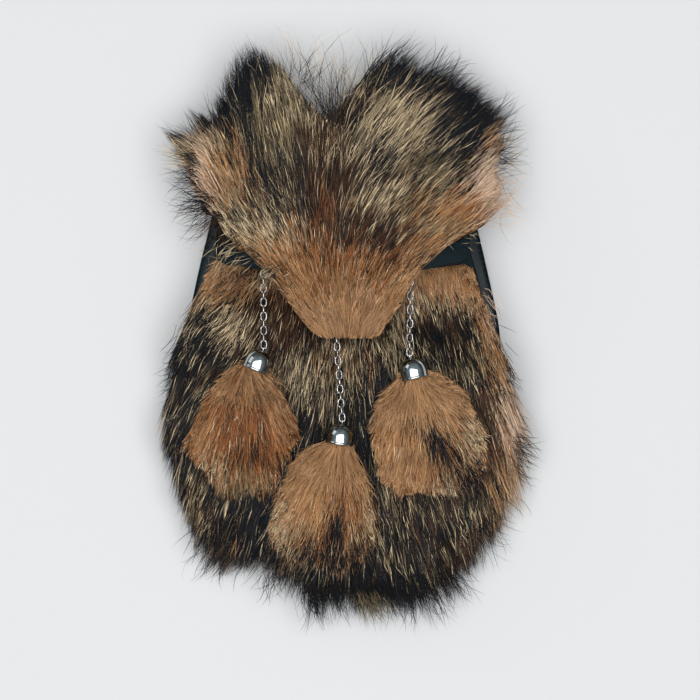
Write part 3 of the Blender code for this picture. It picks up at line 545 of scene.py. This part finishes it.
# Pieces


def settle(piece, slot, *nodes):
    """A finished piece rides on the part and stands for its nodes, which it hides; its slot is not
    used.
    """
    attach(piece, "root")
    if nodes:
        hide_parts(*nodes)
    return piece


def only(*pieces):
    """Makes some pieces the only selected ones, and the first one active."""
    bpy.ops.object.select_all(action="DESELECT")
    for piece in pieces:
        piece.select_set(True)
    bpy.context.view_layer.objects.active = pieces[0]


def modify(piece, kind, **settings):
    """Works the active piece over with a modifier and applies it."""
    modifier = piece.modifiers.new(kind, kind)
    for key, value in settings.items():
        setattr(modifier, key, value)
    bpy.ops.object.modifier_apply(modifier=modifier.name)


def edited(operator, **settings):
    """Works all of the active piece's faces over in edit mode."""
    bpy.ops.object.mode_set(mode="EDIT")
    bpy.ops.mesh.select_all(action="SELECT")
    operator(**settings)
    bpy.ops.object.mode_set(mode="OBJECT")


def new_piece(name, mesh, look):
    """A piece made of a finished mesh."""
    mesh.shade_smooth()
    mesh.materials.append(look)
    piece = bpy.data.objects.new(name, mesh)
    bpy.context.scene.collection.objects.link(piece)
    return piece


def copy_of(node, name, look):
    """A copy of a CAD node with its corners merged."""
    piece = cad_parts[node].copy()
    piece.data = piece.data.copy()
    piece.name = name
    for key in [k for k in piece.keys() if k.startswith("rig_")]:
        del piece[key]
    bpy.context.scene.collection.objects.link(piece)
    only(piece)
    edited(bpy.ops.mesh.remove_doubles, threshold=0.02 * MM)
    piece.data.materials.clear()
    piece.data.materials.append(look)
    return piece


def surface(node):
    """A CAD node's faces as a search tree, and its lowest and highest corners, in millimetres."""
    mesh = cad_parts[node].data
    points = np.array([v.co for v in mesh.vertices]) / MM
    tree = BVHTree.FromPolygons(points.tolist(), [p.vertices[:] for p in mesh.polygons])
    return tree, points.min(0), points.max(0)


def meet(tree, x, y, start, down=-1):
    """Where a line straight down, or up with 1, from a height meets a surface, and its normal."""
    return tree.ray_cast(Vector((x, y, start)), Vector((0, 0, down)))[:2]


# Hair


class Relief:
    """The top of a CAD node as a grid of heights, which sinks past the node's edge."""

    STEP = 3.0

    def __init__(self, node, past, fall, least, blur):
        tree, low, high = surface(node)
        self.origin = low[:2] - past
        counts = ((high[:2] + past - self.origin) / self.STEP).astype(int) + 2
        heights = np.full(counts, np.nan)
        for spot in np.ndindex(*counts):
            hit = meet(tree, *(self.origin + np.array(spot) * self.STEP), high[2] + ABOVE)[0]
            if hit is not None:
                heights[spot] = hit.z
        while np.isnan(heights).any():
            near = self.neighbours(heights, mode="constant", constant_values=np.nan)
            known = ~np.isnan(near)
            total = np.where(known, near, 0.0).sum(0)
            mean = total / np.maximum(known.sum(0), 1) - fall * self.STEP
            fill = np.isnan(heights) & known.any(0)
            heights = np.where(fill, np.maximum(mean, least), heights)
        for _ in range(blur):
            heights = heights / 2 + self.neighbours(heights, mode="edge").mean(0) / 2
        self.heights = heights

    @staticmethod
    def neighbours(grid, **past_edge):
        """The values above, below, left and right of each of a grid's."""
        wide = np.pad(grid, 1, **past_edge)
        return np.stack((wide[:-2, 1:-1], wide[2:, 1:-1], wide[1:-1, :-2], wide[1:-1, 2:]))

    def __call__(self, spots):
        h = self.heights
        place = np.clip((spots - self.origin) / self.STEP, 0, np.array(h.shape) - 1.001)
        (i, j), (a, b) = place.astype(int).T, (place % 1).T
        low = h[i, j] * (1 - a) + h[i + 1, j] * a
        high = h[i, j + 1] * (1 - a) + h[i + 1, j + 1] * a
        return low * (1 - b) + high * b


def covers(node):
    """A test of which spots lie over a node."""
    tree, _, high = surface(node)
    return lambda spots: np.array([meet(tree, x, y, high[2] + ABOVE)[0] is not None for x, y in spots])


def by_height(heights, values):
    """A value for each spot, by how far up the part it lies."""
    return lambda spots: np.interp(spots[:, 1], heights, values)


def by_distance(start, distances, values):
    """A value for each spot, by how far it lies from a place."""
    return lambda spots: np.interp(np.hypot(*(spots - start).T), distances, values)


def by_rows(turn):
    """The lie of hair at some spots, blended between the rows of its table."""

    def lie(spots):
        rows = np.array([np.interp(spots[:, 0], turn["x"], row) for row in turn["lies"]])
        at = np.interp(spots[:, 1], turn["y"], np.arange(len(rows)))
        low = np.minimum(at.astype(int), len(rows) - 2)
        share, each = at - low, np.arange(len(spots))
        return np.radians(rows[low, each] * (1 - share) + rows[low + 1, each] * share)

    return lie


def outness(outline, centre, spots):
    """How far out spots lie from a centre: 1 on the outline, less inside it."""
    ring = np.array(outline, float) - centre
    angles = np.arctan2(ring[:, 1], ring[:, 0])
    order = np.argsort(angles)
    away = spots - centre
    here = np.arctan2(away[:, 1], away[:, 0])
    reach = np.interp(here, angles[order], np.hypot(*ring.T)[order], period=2 * pi)
    return np.hypot(*away.T) / reach


def lengths_along(path):
    """How far along a path each of its points lies."""
    return np.concatenate(((0,), np.cumsum(np.linalg.norm(np.diff(path, axis=0), axis=1))))


def places_along(path, length, spots):
    """The places at some lengths along a path."""
    return np.stack([np.interp(spots, length, column) for column in path.T], 1)


def tufts(outline, centre, spacing, uneven, seed):
    """Where the tips at a pelt's edge draw together into spikes, and how far apart these are."""
    rng = np.random.default_rng(seed)
    ring = np.array([*outline, outline[0]], float)
    length = lengths_along(ring)
    steps = np.cumsum(spacing * rng.uniform(0.6, 1.4, int(length[-1] / spacing)))
    spots = places_along(ring, length, steps)
    spots += (spots - centre) * rng.uniform(-uneven, uneven / 2, (len(spots), 1))
    return spots, spacing


def walk(roots, lengths, way, stray, bend, along):
    """Each hair's route over the ground: from its root along the coat's lie."""
    spots = [roots]
    for before, after in zip(along, along[1:]):
        angle = way(spots[-1]) + stray + bend * (after - 0.5)
        step = (after - before) * lengths
        spots.append(spots[-1] + np.stack((np.sin(angle), np.cos(angle)), 1) * step[:, None])
    return np.stack(spots, 1)


def nearest(spots, guides):
    """The number of each spot's nearest guide."""
    tree = KDTree(len(guides))
    for k, (x, y) in enumerate(guides):
        tree.insert((x, y, 0), k)
    tree.balance()
    return np.array([tree.find((x, y, 0))[1] for x, y in spots])


def coats_at(rng, pelt, spots, clump):
    """A coat for each hair: by the patches over its spot, often the same within a clump."""
    weights = np.tile([pelt.base.get(name, 0.0) for name in COAT_NAMES], (len(spots), 1))
    for name, patches in pelt.patches.items():
        for x, y, wide, tall, weight in patches:
            out = ((spots[:, 0] - x) / wide) ** 2 + ((spots[:, 1] - y) / tall) ** 2
            weights[:, COAT_NAMES.index(name)] += weight * np.exp(-out)
    limits = np.cumsum(weights / weights.sum(1, keepdims=True), axis=1)
    together = rng.random(clump.max() + 1)[clump]
    draw = np.where(rng.random(len(spots)) < pelt.clump_share, together, rng.random(len(spots)))
    return np.minimum((draw[:, None] > limits).sum(1), len(COATS) - 1)


def hair_mesh(pelt, name, rng, routes, along, width, coats, shades, look):
    """A piece of ribbons along routes, with a map of each hair's coat and place along it."""
    count, rings = routes.shape[:2]
    ahead = np.gradient(routes, axis=1)
    ahead /= np.linalg.norm(ahead, axis=2, keepdims=True)
    side = np.cross(ahead, (0.0, 0.0, 1.0))
    side /= np.maximum(np.linalg.norm(side, axis=2, keepdims=True), TINY)
    roll = rng.normal(0, ROLL, count)[:, None, None]
    side = side * np.cos(roll) + np.cross(ahead, side) * np.sin(roll)
    profile = np.interp(along, RIBBON["along"], RIBBON["width"])
    half = width[:, None, None] * profile[None, :, None] / 2
    each = 2 * rings - 1
    points = np.empty((count, each, 3))
    points[:, 0:-1:2] = (routes - side * half)[:, :-1]
    points[:, 1::2] = (routes + side * half)[:, :-1]
    points[:, -1] = routes[:, -1]
    points[:, :, 2] = np.maximum(points[:, :, 2], FLOOR_CLEAR)
    corners = [2 * k + turn for k in range(rings - 2) for turn in (0, 1, 3, 2)]
    corners = np.array(corners + [each - 3, each - 2, each - 1])
    across = (coats + 0.1 + 0.8 * np.clip(shades, 0, 1)) / len(COATS)
    edge = np.array([-1, 1] * (rings - 1) + [0]) * HAIR_MAP_WIDTH
    where = np.empty((count, len(corners), 2))
    where[:, :, 0] = across[:, None] + edge[corners]
    where[:, :, 1] = np.repeat(along, 2)[corners]
    mesh = bpy.data.meshes.new(f"{pelt.node}_{name}")
    strips = (np.arange(count)[:, None] * each + corners).tolist()
    faces = [strip[k : k + 4] for strip in strips for k in range(0, len(corners), 4)]
    mesh.from_pydata((points * MM).reshape(-1, 3), [], faces)
    mesh.uv_layers.new(name="OFBake").data.foreach_set("uv", where.astype(np.float32).ravel())
    settle(new_piece(mesh.name, mesh, look), pelt.slot)


def rooted(pelt, layer, spots):
    """Whether hair of a layer grows at some spots: on the skin, or only near its edge."""
    inside = pelt.skin(spots)
    if layer.edge:
        away = spots - pelt.centre
        away /= np.hypot(*away.T)[:, None]
        inside &= ~pelt.skin(spots + away * layer.edge)
    return inside


def grow(pelt, layer, seed, look):
    """A layer of hair on a pelt: combed, clumped, cut to the outline and coloured by its patches."""
    rng = np.random.default_rng(seed)
    count = layer.count
    along = np.array(SHORT_RIBBON if layer.name == "deep" else RIBBON["along"])
    out = partial(outness, pelt.outline, pelt.centre)

    roots = np.empty((0, 2))
    while len(roots) < count:
        more = rng.uniform(*pelt.box, (count, 2))
        roots = np.vstack((roots, more[(out(more) < 1.0) & rooted(pelt, layer, more)]))
    roots = roots[:count]
    guides = rng.choice(count, layer.clumps, replace=False)
    clump = nearest(roots, roots[guides])

    # Combed: a hair whose tip would pass its limit is cut, and one near the edge may be longer
    lengths = pelt.length(roots) * rng.uniform(*LENGTHS, count)
    stray, bend = rng.normal(0, layer.stray, count), rng.normal(0, BEND, count)
    low, high = layer.reach
    draw = CLUMP_REACH * rng.random(layer.clumps)[clump] + HAIR_REACH * rng.random(count)
    limits = np.minimum(low + (high - low) * draw, pelt.most(roots))
    start, longest = out(roots), lengths * (LONGER if layer.edge else 1.0)
    for _ in range(4):
        reached = out(walk(roots, lengths, pelt.way, stray, bend, along)[:, -1])
        share = np.clip((limits - start) / np.maximum(reached - start, 0.02), 0.3, 1.6)
        change = (reached > limits) | bool(layer.edge)
        lengths = np.minimum(np.where(change, lengths * share, lengths), longest)
    flat = walk(roots, np.maximum(lengths, SHORTEST), pelt.way, stray, bend, along)

    # Drawn together: in each clump toward its guide hair, and near the edge toward the spikes
    pulled = rng.uniform(0.5, 1, count)[:, None, None] * (layer.pull * along**CLUMP_BEND)[None, :, None]
    flat += (flat[guides][clump] - flat) * pulled
    tips = flat[:, -1]
    near = np.clip((out(tips) - SPIKE_FROM) / SPIKE_OVER, 0, 1)
    spikes, spacing = pelt.tufts
    aim = spikes[nearest(tips, spikes)] - tips
    near *= rng.uniform(0.1, 0.9, count) * np.exp(-((np.hypot(*aim.T) / (1.5 * spacing)) ** 2))
    flat += aim[:, None] * (near[:, None] * along**SPIKE_BEND)[:, :, None]

    # Laid: from the skin up into the coat, under the CAD solid's top
    top = pelt.relief(flat.reshape(-1, 2)).reshape(count, -1)
    rise = np.clip(along / RISE, 0, 1)
    deep = rng.random(count) ** 1.2 * layer.thick
    puff = rng.normal(0, pelt.puff, layer.clumps)[clump]
    sink = pelt.sink(roots)
    down = sink[:, None] * (1 - rise)[None, :] ** 1.5
    down = down + ((deep - puff) * np.clip(sink / 6.0, 0.15, 1.0))[:, None] * rise[None, :]
    up = layer.lift * rng.random(count)[:, None] ** 3 * along**2
    routes = np.dstack((flat, top - down + up))

    coats = coats_at(rng, pelt, flat[:, -1] * TIP_SHARE + flat[:, 0] * ROOT_SHARE, clump)
    shades = rng.normal(*HAIR_SHADE, count) + rng.normal(*CLUMP_SHADE, layer.clumps)[clump]
    widths = layer.width * rng.uniform(*WIDTHS, count) * pelt.fine(roots)
    hair_mesh(pelt, layer.name, rng, routes, along, widths, coats, shades, look)


def add_wisps(pelt, seed, look):
    """Loose hairs that stray from a pelt, each on its own gentle bend."""
    rng = np.random.default_rng(seed)
    along = np.array(RIBBON["along"])
    routes, coats = [], []
    for wisp in (Wisp(*row) for row in pelt.wisps):
        count = wisp.count
        roots = rng.normal(0, 0.5, (count, 2)) * (wisp.wide, wisp.tall) + (wisp.x, wisp.y)
        lie = np.radians(wisp.lie + rng.normal(0, wisp.fan, count))
        bend = rng.normal(0, WISP_BEND, count)
        lengths = wisp.length * rng.uniform(*WISP_LENGTHS, count)
        flat = walk(roots, lengths, lambda spots, lie=lie: lie, 0.0, bend, along)
        ground = pelt.relief(flat.reshape(-1, 2)).reshape(count, -1)
        base = ground[:, :1] - 1.0
        rise = wisp.high * np.minimum(along / 0.5, 1) * rng.uniform(0.3, 1, count)[:, None]
        routes.append(np.dstack((flat, base + (ground - base) * 0.6 + rise)))
        coats.append(np.full(count, COAT_NAMES.index(wisp.coat)))
    routes, coats = np.vstack(routes), np.concatenate(coats)
    shades, widths = rng.normal(*WISP_SHADE, len(routes)), rng.uniform(*WISP_WIDTHS, len(routes))
    hair_mesh(pelt, "wisps", rng, routes, along, widths, coats, shades, look)


def keep_largest(piece):
    """Deletes all but a piece's largest body."""
    bm = bmesh.new()
    bm.from_mesh(piece.data)
    left, largest = set(bm.verts), set()
    while left:
        body, edge = set(), {left.pop()}
        while edge:
            body |= edge
            edge = {e.other_vert(v) for v in edge for e in v.link_edges} & left
            left -= edge
        largest = max(largest, body, key=len)
    bmesh.ops.delete(bm, geom=[v for v in bm.verts if v not in largest], context="VERTS")
    bm.to_mesh(piece.data)
    bm.free()


def wool(pelt, look):
    """The wool under a pelt: a rounded copy of its solid, drawn in toward its middle."""
    centre, narrow, (high_from, high_narrow, high_down) = pelt.wool
    piece = copy_of(pelt.node, pelt.node + "_wool", look)
    modify(piece, "REMESH", mode="VOXEL", voxel_size=3.0 * MM)
    modify(piece, "SMOOTH", factor=0.5, iterations=10)
    modify(piece, "DISPLACE", strength=-WOOL_UNDER * MM, mid_level=0.0)
    keep_largest(piece)
    middle = np.array((*centre, 0.0)) * MM
    points = np.array([v.co for v in piece.data.vertices])
    points = middle + (points - middle) * (narrow, narrow, 1.0)
    high = np.interp(points[:, 1] / MM, (high_from - 30.0, high_from), (0.0, 1.0))
    points[:, 0] *= 1 - (1 - high_narrow) * high
    points[:, 2] -= high_down * MM * high
    points[:, 2] = np.maximum(points[:, 2], FLOOR_CLEAR * MM)
    piece.data.vertices.foreach_set("co", points.ravel())
    piece.data.shade_smooth()
    settle(piece, pelt.slot, pelt.node)


def front_pelt():
    """The front pelt."""
    return SimpleNamespace(
        kind="front", layers=FRONT_LAYERS, wisps=FRONT_WISPS, seed=10,
        node="front_fur", slot="front_fur", outline=FRONT_OUTLINE, centre=FRONT_CENTRE,
        tufts=tufts(FRONT_OUTLINE, FRONT_CENTRE, 6.5, 0.07, 19), box=((-96, -122), (92, 56)),
        skin=covers("front_panel"), relief=Relief("front_fur", 30.0, 0.8, 1.0, 2), puff=1.1,
        sink=by_height((14, 44), (8.0, 1.2)), way=by_rows(FRONT_TURN),
        most=by_height((-60, -10), (1.12, 1.01)), length=by_height(*FRONT_LENGTH),
        fine=by_height((20, 44), (1.0, 0.7)),
        base=FRONT_BASE, patches=FRONT_PATCHES, clump_share=0.75,
        wool=(FRONT_CENTRE, 0.91, (30.0, 0.93, 2.4)),
    )


def flap_pelt():
    """The flap's pelt, with its two ears and its short tongue."""
    over_flap = covers("flap_fur")

    def skin(spots):
        x, y = spots.T
        half = np.interp(y, (0, 30, 44, 60, 100, 130), (22, 38, 54, 78, 86, 62))
        aside = np.where(x < 0, np.clip((60 - y) / 8, 0, 3.5), 0.0)
        lifted = spots + np.column_stack((aside, np.clip(4.0 - y, 0.0, 4.0)))
        return (np.abs(x + 2) < half) & (y > -1.5) & (y < 130) & over_flap(lifted)

    return SimpleNamespace(
        kind="flap", layers=RUFF_LAYERS, wisps=FLAP_WISPS, seed=20,
        node="flap_fur", slot="flap_fur", outline=RUFF_OUTLINE, centre=RUFF_CENTRE,
        tufts=tufts(RUFF_OUTLINE, RUFF_CENTRE, 4.5, 0.06, 29), box=((-90, -2), (92, 130)),
        skin=skin, relief=Relief("flap_fur", 30.0, 0.5, 26.0, 2), puff=1.0,
        sink=by_height((2, 26), (0.6, 8.0)), way=by_rows(RUFF_TURN),
        most=by_height((56, 86), (1.02, 1.12)), length=by_height(*RUFF_LENGTH),
        fine=by_height((10, 50), (0.7, 1.0)),
        base=RUFF_BASE, patches=RUFF_PATCHES, clump_share=0.75,
        wool=((-3, 6), 0.89, (0.0, 1.0, 0.0)),
    )


def tassel_pelt(side, shape, number):
    """A tassel: hair that spreads from the cap and falls over a round ball of wool."""
    start, outline, centre = np.array(shape["start"]), shape["outline"], shape["centre"]

    def way(spots):
        away = start - spots
        return pi + 0.9 * np.arctan2(away[:, 0], away[:, 1])

    def skin(spots):
        below = np.interp(spots[:, 1] - start[1], (-14, 0), (0.92, 1.0))
        return outness(outline, centre, spots) < below

    ring = np.array(outline)
    return SimpleNamespace(
        kind="tassel", layers=TASSEL_LAYERS, wisps=(), seed=30 + 10 * number,
        node="tassel_" + side, slot="tassel_fur", outline=outline, centre=centre,
        tufts=tufts(outline, centre, 5.0, 0.24, 39 + number), box=(ring.min(0), ring.max(0)),
        skin=skin, relief=Relief("tassel_" + side, 14.0, 0.9, 40.0, 5), puff=0.8,
        sink=by_distance(start, (8, 30), (1.0, 4.0)), way=way,
        most=by_height((0,), (1.18,)), length=by_distance(start, (5, 30, 60), (20, 30, 36)),
        fine=by_distance(start, (5, 25), (0.85, 1.0)),
        base=shape["base"], patches=shape["patches"], clump_share=0.8,
        wool=(shape["start"], 0.86, (0.0, 1.0, 0.0)),
    )


def make_fur():
    """Each pelt's layers of hair, its loose wisps, and the wool that keeps its solid's form."""
    coats = coat_group()
    looks = {}
    for kind, colours in WOOLS.items():
        looks[kind] = hair_material(kind + " hair", coats), wool_material(kind + " wool", *colours)
    pelts = [front_pelt(), flap_pelt()]
    pelts += [tassel_pelt(side, shape, k) for k, (side, shape) in enumerate(TASSELS.items())]
    for pelt in pelts:
        hair, under = looks[pelt.kind]
        for k, row in enumerate(pelt.layers):
            grow(pelt, Layer(*row), pelt.seed + k, hair)
        if pelt.wisps:
            add_wisps(pelt, pelt.seed + 8, hair)
        wool(pelt, under)


# Leather


def leather_piece(node, look, uneven, rounds):
    """A leather part: its solid with soft turned edges and a hand-worked unevenness."""
    piece = copy_of(node, node + "_hide", look)
    pair = bpy.ops.mesh.tris_convert_to_quads
    edited(pair, face_threshold=radians(40), shape_threshold=radians(60))
    modify(piece, "BEVEL", width=0.55 * MM, segments=2, limit_method="ANGLE", angle_limit=radians(35))
    modify(piece, "SUBSURF", levels=rounds, render_levels=rounds)
    clouds = bpy.data.textures.new(node + " unevenness", "CLOUDS")
    clouds.noise_scale, clouds.noise_depth = 0.022, 2
    modify(
        piece, "DISPLACE", texture=clouds, texture_coords="LOCAL", strength=uneven * MM, mid_level=0.5
    )
    for vertex in piece.data.vertices:
        vertex.co.z = max(vertex.co.z, 0.0)
    piece.data.shade_smooth()
    settle(piece, "black_leather", node)


def even_steps(path, step):
    """Places a step apart along a path, each with its direction."""
    path = np.array(path, float)
    length = lengths_along(path)
    spots = np.arange(step / 2, length[-1], step)
    places = places_along(path, length, spots)
    ahead = places_along(path, length, spots + 0.5) - places
    return zip(places, ahead / np.maximum(np.linalg.norm(ahead, axis=1, keepdims=True), TINY))


def laid(hit, normal, way, proud):
    """A place just over a surface, the way along the surface there, and its normal."""
    normal = np.array(normal)
    way = way - normal * (way @ normal)
    return np.array(hit) + normal * proud, way / np.linalg.norm(way), normal


def laid_row(node, flat, down, step=STITCH["step"], proud=STITCH["proud"]):
    """A row of places over a flat path, laid on a node from above (down -1) or below (1)."""
    tree, row = surface(node)[0], []
    for place, way in even_steps(np.column_stack((flat, np.zeros(len(flat)))), step):
        hit, normal = meet(tree, *place[:2], -200.0 * down, down)
        if hit is not None and abs(normal.z) >= 0.2:
            row.append(laid(hit, normal, way, proud))
    return row


def flap_side(inset):
    """The flap's free edge as a path round its front, drawn in by an inset."""
    ys, half = np.array(FLAP_EDGE["y"], float), np.array(FLAP_EDGE["half"], float)
    right = np.column_stack((FLAP_MIDDLE_X + half, ys))
    path = np.vstack((right, (right * (-1, 1) + (2 * FLAP_MIDDLE_X, 0))[::-1]))
    ahead = np.gradient(path, axis=0)
    inward = np.column_stack((ahead[:, 1], -ahead[:, 0]))
    inward /= np.linalg.norm(inward, axis=1, keepdims=True)
    return path + inward * inset


def gusset_row():
    """Stitch places round the gusset's outside, along its seams with the back and front panels."""
    wall, row = surface("gusset")[0], []
    for panel, up, inset in GUSSET_SEAMS:
        inner, path = surface(panel)[0], []
        for turn in np.radians(np.linspace(-GUSSET_TURN, GUSSET_TURN, GUSSET_TRIES)):
            out, start = Vector((sin(turn), -cos(turn), 0.0)), Vector(GUSSET_MIDDLE)
            rim = wall.ray_cast(start + out * OUTSIDE, -out)[0]
            seam = rim and inner.ray_cast(rim - out * inset, Vector((0, 0, up)))[0]
            if seam:
                start.z = seam.z - up * STITCH["in"]
                path.append(wall.ray_cast(start + out * OUTSIDE, -out)[0])
        for place, way in even_steps(path, STITCH["step"]):
            row.append(laid(*wall.find_nearest(Vector(place))[:2], way, STITCH["proud"]))
    return row


def stitches(name, row, look):
    """A row of waxed stitches, each a short rounded loop of thread sunk at its ends."""
    bpy.ops.mesh.primitive_uv_sphere_add(segments=6, ring_count=5, radius=1.0)
    model = bpy.context.object
    shape = np.array([v.co for v in model.data.vertices])
    shape = shape * (STITCH["long"] / 2, STITCH["thick"] * 0.6, STITCH["thick"] / 2)
    faces = [p.vertices[:] for p in model.data.polygons]
    bpy.data.objects.remove(model)
    points, loops = [], []
    for place, way, up in row:
        loops += [[len(points) + k for k in face] for face in faces]
        points += list((place + shape @ np.array((way, np.cross(up, way), up))) * MM)
    mesh = bpy.data.meshes.new(name)
    mesh.from_pydata(points, [], loops)
    settle(new_piece(name, mesh, look), "black_leather")


def bead(name, points, radius, look):
    """A round bead along a path."""
    curve = bpy.data.curves.new(name, "CURVE")
    curve.dimensions, curve.bevel_depth, curve.bevel_resolution = "3D", radius * MM, 2
    spline = curve.splines.new("POLY")
    spline.points.add(len(points) - 1)
    for point, place in zip(spline.points, points):
        point.co = (*(place * MM), 1)
    curve.use_fill_caps = True
    holder = bpy.data.objects.new(name + " path", curve)
    bpy.context.scene.collection.objects.link(holder)
    mesh = bpy.data.meshes.new_from_object(holder)
    bpy.data.objects.remove(holder)
    settle(new_piece(name, mesh, look), "black_leather")


def make_leather():
    """Panels, gusset, flap and belt loops, with piped edges and stitched seams."""
    grain = grain_group()
    hide, edge, thread = (leather_material(name, grain, *looks) for name, looks in LEATHERS.items())
    for node, work in LEATHER_WORK.items():
        leather_piece(node, hide, *work)
    places = laid_row("flap_leather", flap_side(PIPING_IN), -1, 1.5, 0.0)
    bead("flap_piping", [place - normal * PIPING_IN for place, _, normal in places], PIPING, edge)
    stitches("flap_stitches", laid_row("flap_leather", flap_side(STITCH["in"]), -1), thread)
    stitches("gusset_stitches", gusset_row(), thread)
    for side, x in LOOP_MIDDLES.items():
        node, row = "belt_loop_" + side, []
        for y in LOOP_ENDS:
            row += laid_row(node, np.array(((x - LOOP_HALF, y), (x + LOOP_HALF, y))), 1)
        stitches(node + "_stitches", row, thread)


# Caps and chains


def lathe(name, radii, heights, turns, look):
    """A turned piece: a ring drawn out and up row by row."""
    bpy.ops.mesh.primitive_circle_add(vertices=turns, radius=radii[0] * MM)
    piece = bpy.context.object
    piece.name = name
    bpy.ops.object.mode_set(mode="EDIT")
    bpy.ops.transform.translate(value=(0, 0, heights[0] * MM))
    for before, r, low, h in zip(radii, radii[1:], heights, heights[1:]):
        bpy.ops.mesh.extrude_edges_move()
        bpy.ops.transform.translate(value=(0, 0, (h - low) * MM))
        size = max(r, 0.001) / before
        bpy.ops.transform.resize(value=(size, size, 1), center_override=(0, 0, h * MM))
    bpy.ops.mesh.select_all(action="SELECT")
    bpy.ops.mesh.remove_doubles(threshold=0.01 * MM)
    bpy.ops.mesh.normals_make_consistent(inside=False)
    bpy.ops.object.mode_set(mode="OBJECT")
    piece.data.materials.append(look)
    return piece


def link_piece(long, wide, wire, look):
    """An oval link of round wire, long in Y and flat in Z."""
    bpy.ops.mesh.primitive_torus_add(
        major_radius=wide / 2 * MM, minor_radius=wire / 2 * MM, major_segments=20, minor_segments=8
    )
    piece = bpy.context.object
    for vertex in piece.data.vertices:
        vertex.co.y += (long - wide) / 2 * MM * (1 if vertex.co.y > 0 else -1)
    piece.data.materials.append(look)
    return piece


def placed(piece, middle, along, flat):
    """Puts a piece's middle at a place, its Z along one way and its X along another."""
    along, flat = along.normalized(), flat.normalized()
    turn = Matrix((flat, along.cross(flat), along)).transposed().to_4x4()
    piece.data.transform(Matrix.Translation(middle * MM) @ turn)
    piece.data.shade_smooth()
    return piece


def joined(pieces, name):
    """Several pieces as one."""
    only(*pieces)
    bpy.ops.object.join()
    pieces[0].name = name
    return pieces[0]


def make_metal():
    """Dome caps with their eyes, chains of oval links, and the wire staples they hang from."""
    chrome, nickel = (metal_material(name, *looks) for name, looks in METALS.items())
    up = Vector((0, 0, 1))
    for side, cap in CAPS.items():
        lean = radians(cap["lean"])
        axis = Vector((-sin(lean), cos(lean), 0.0))
        rim = Vector((*cap["at"], CAP_Z)) - axis * CAP_MIDDLE
        dome = lathe("dome", CAP_SECTION["r"], CAP_SECTION["h"], CAP_TURNS, chrome)
        placed(dome, rim, axis, up)
        eye = rim + axis * EYE["up"]
        ring = link_piece(2 * EYE["radius"], 2 * EYE["radius"], EYE["wire"], chrome)
        placed(ring, eye, axis.cross(up), up)
        settle(joined([dome, ring], f"cap_{side}_bright"), "bright_metal", "cap_" + side)

        low, high = (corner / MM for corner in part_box("anchor_" + side))
        start = Vector(((low.x + high.x) / 2, (low.y + high.y) / 2, high.z - ANCHOR_RING_DOWN))
        way = (eye - start).normalized()
        flat = way.cross(up).normalized()
        upright = flat.cross(way)
        first = (start + eye - way * (LINK["step"] * (LINK["count"] - 1))) / 2
        links = []
        for k in range(LINK["count"]):
            link = link_piece(LINK["long"], LINK["wide"], LINK["wire"], nickel)
            wide = upright if k % 2 else flat
            links.append(placed(link, first + way * (k * LINK["step"]), wide.cross(way), wide))
        settle(joined(links, f"chain_{side}_links"), "dull_metal", "chain_" + side)
        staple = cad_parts["anchor_" + side].data
        staple.materials.clear()
        staple.materials.append(nickel)


# Stage, light and camera


def make_stage():
    """Pale paper, a wide soft light above and the camera."""
    bpy.ops.mesh.primitive_plane_add(size=6.0, location=(0, 0, 0))
    paper = bpy.context.object
    paper.name = "paper"
    look, _, shader = new_material("paper")
    feed(shader, {"Base Color": (*PAPER, 1), "Roughness": 0.9})
    paper.data.materials.append(look)
    scene = bpy.context.scene
    for name, place, wide, long, power in LIGHTS:
        light = bpy.data.lights.new(name, "AREA")
        light.shape, light.size, light.size_y, light.energy = "RECTANGLE", wide, long, power
        lamp = bpy.data.objects.new(name, light)
        lamp.location = place
        lamp.rotation_euler = Vector(place).to_track_quat("Z", "Y").to_euler()
        scene.collection.objects.link(lamp)
    world = bpy.data.worlds.new("room")
    world.use_nodes = True
    tree = world.node_tree
    up = add(tree, "SeparateXYZ", {0: add(tree, "TexCoord")["Generated"]})["Z"]
    glow = spread(tree, up, 0.25, 0.9, *ROOM_LIGHT)
    feed(tree.nodes["Background"], {"Color": (*ROOM, 1), "Strength": glow})
    scene.world = world
    camera = bpy.data.objects.new("camera", bpy.data.cameras.new("camera"))
    camera.data.angle = 2 * np.arctan(VIEW_WIDTH / 2 / (VIEW_HEIGHT - VIEW_LEVEL))
    camera.location = (VIEW_MIDDLE[0] * MM, VIEW_MIDDLE[1] * MM, VIEW_HEIGHT * MM)
    scene.collection.objects.link(camera)
    scene.camera = camera
    scene.view_settings.view_transform = "Standard"


make_leather()
make_metal()
make_fur()
make_stage()
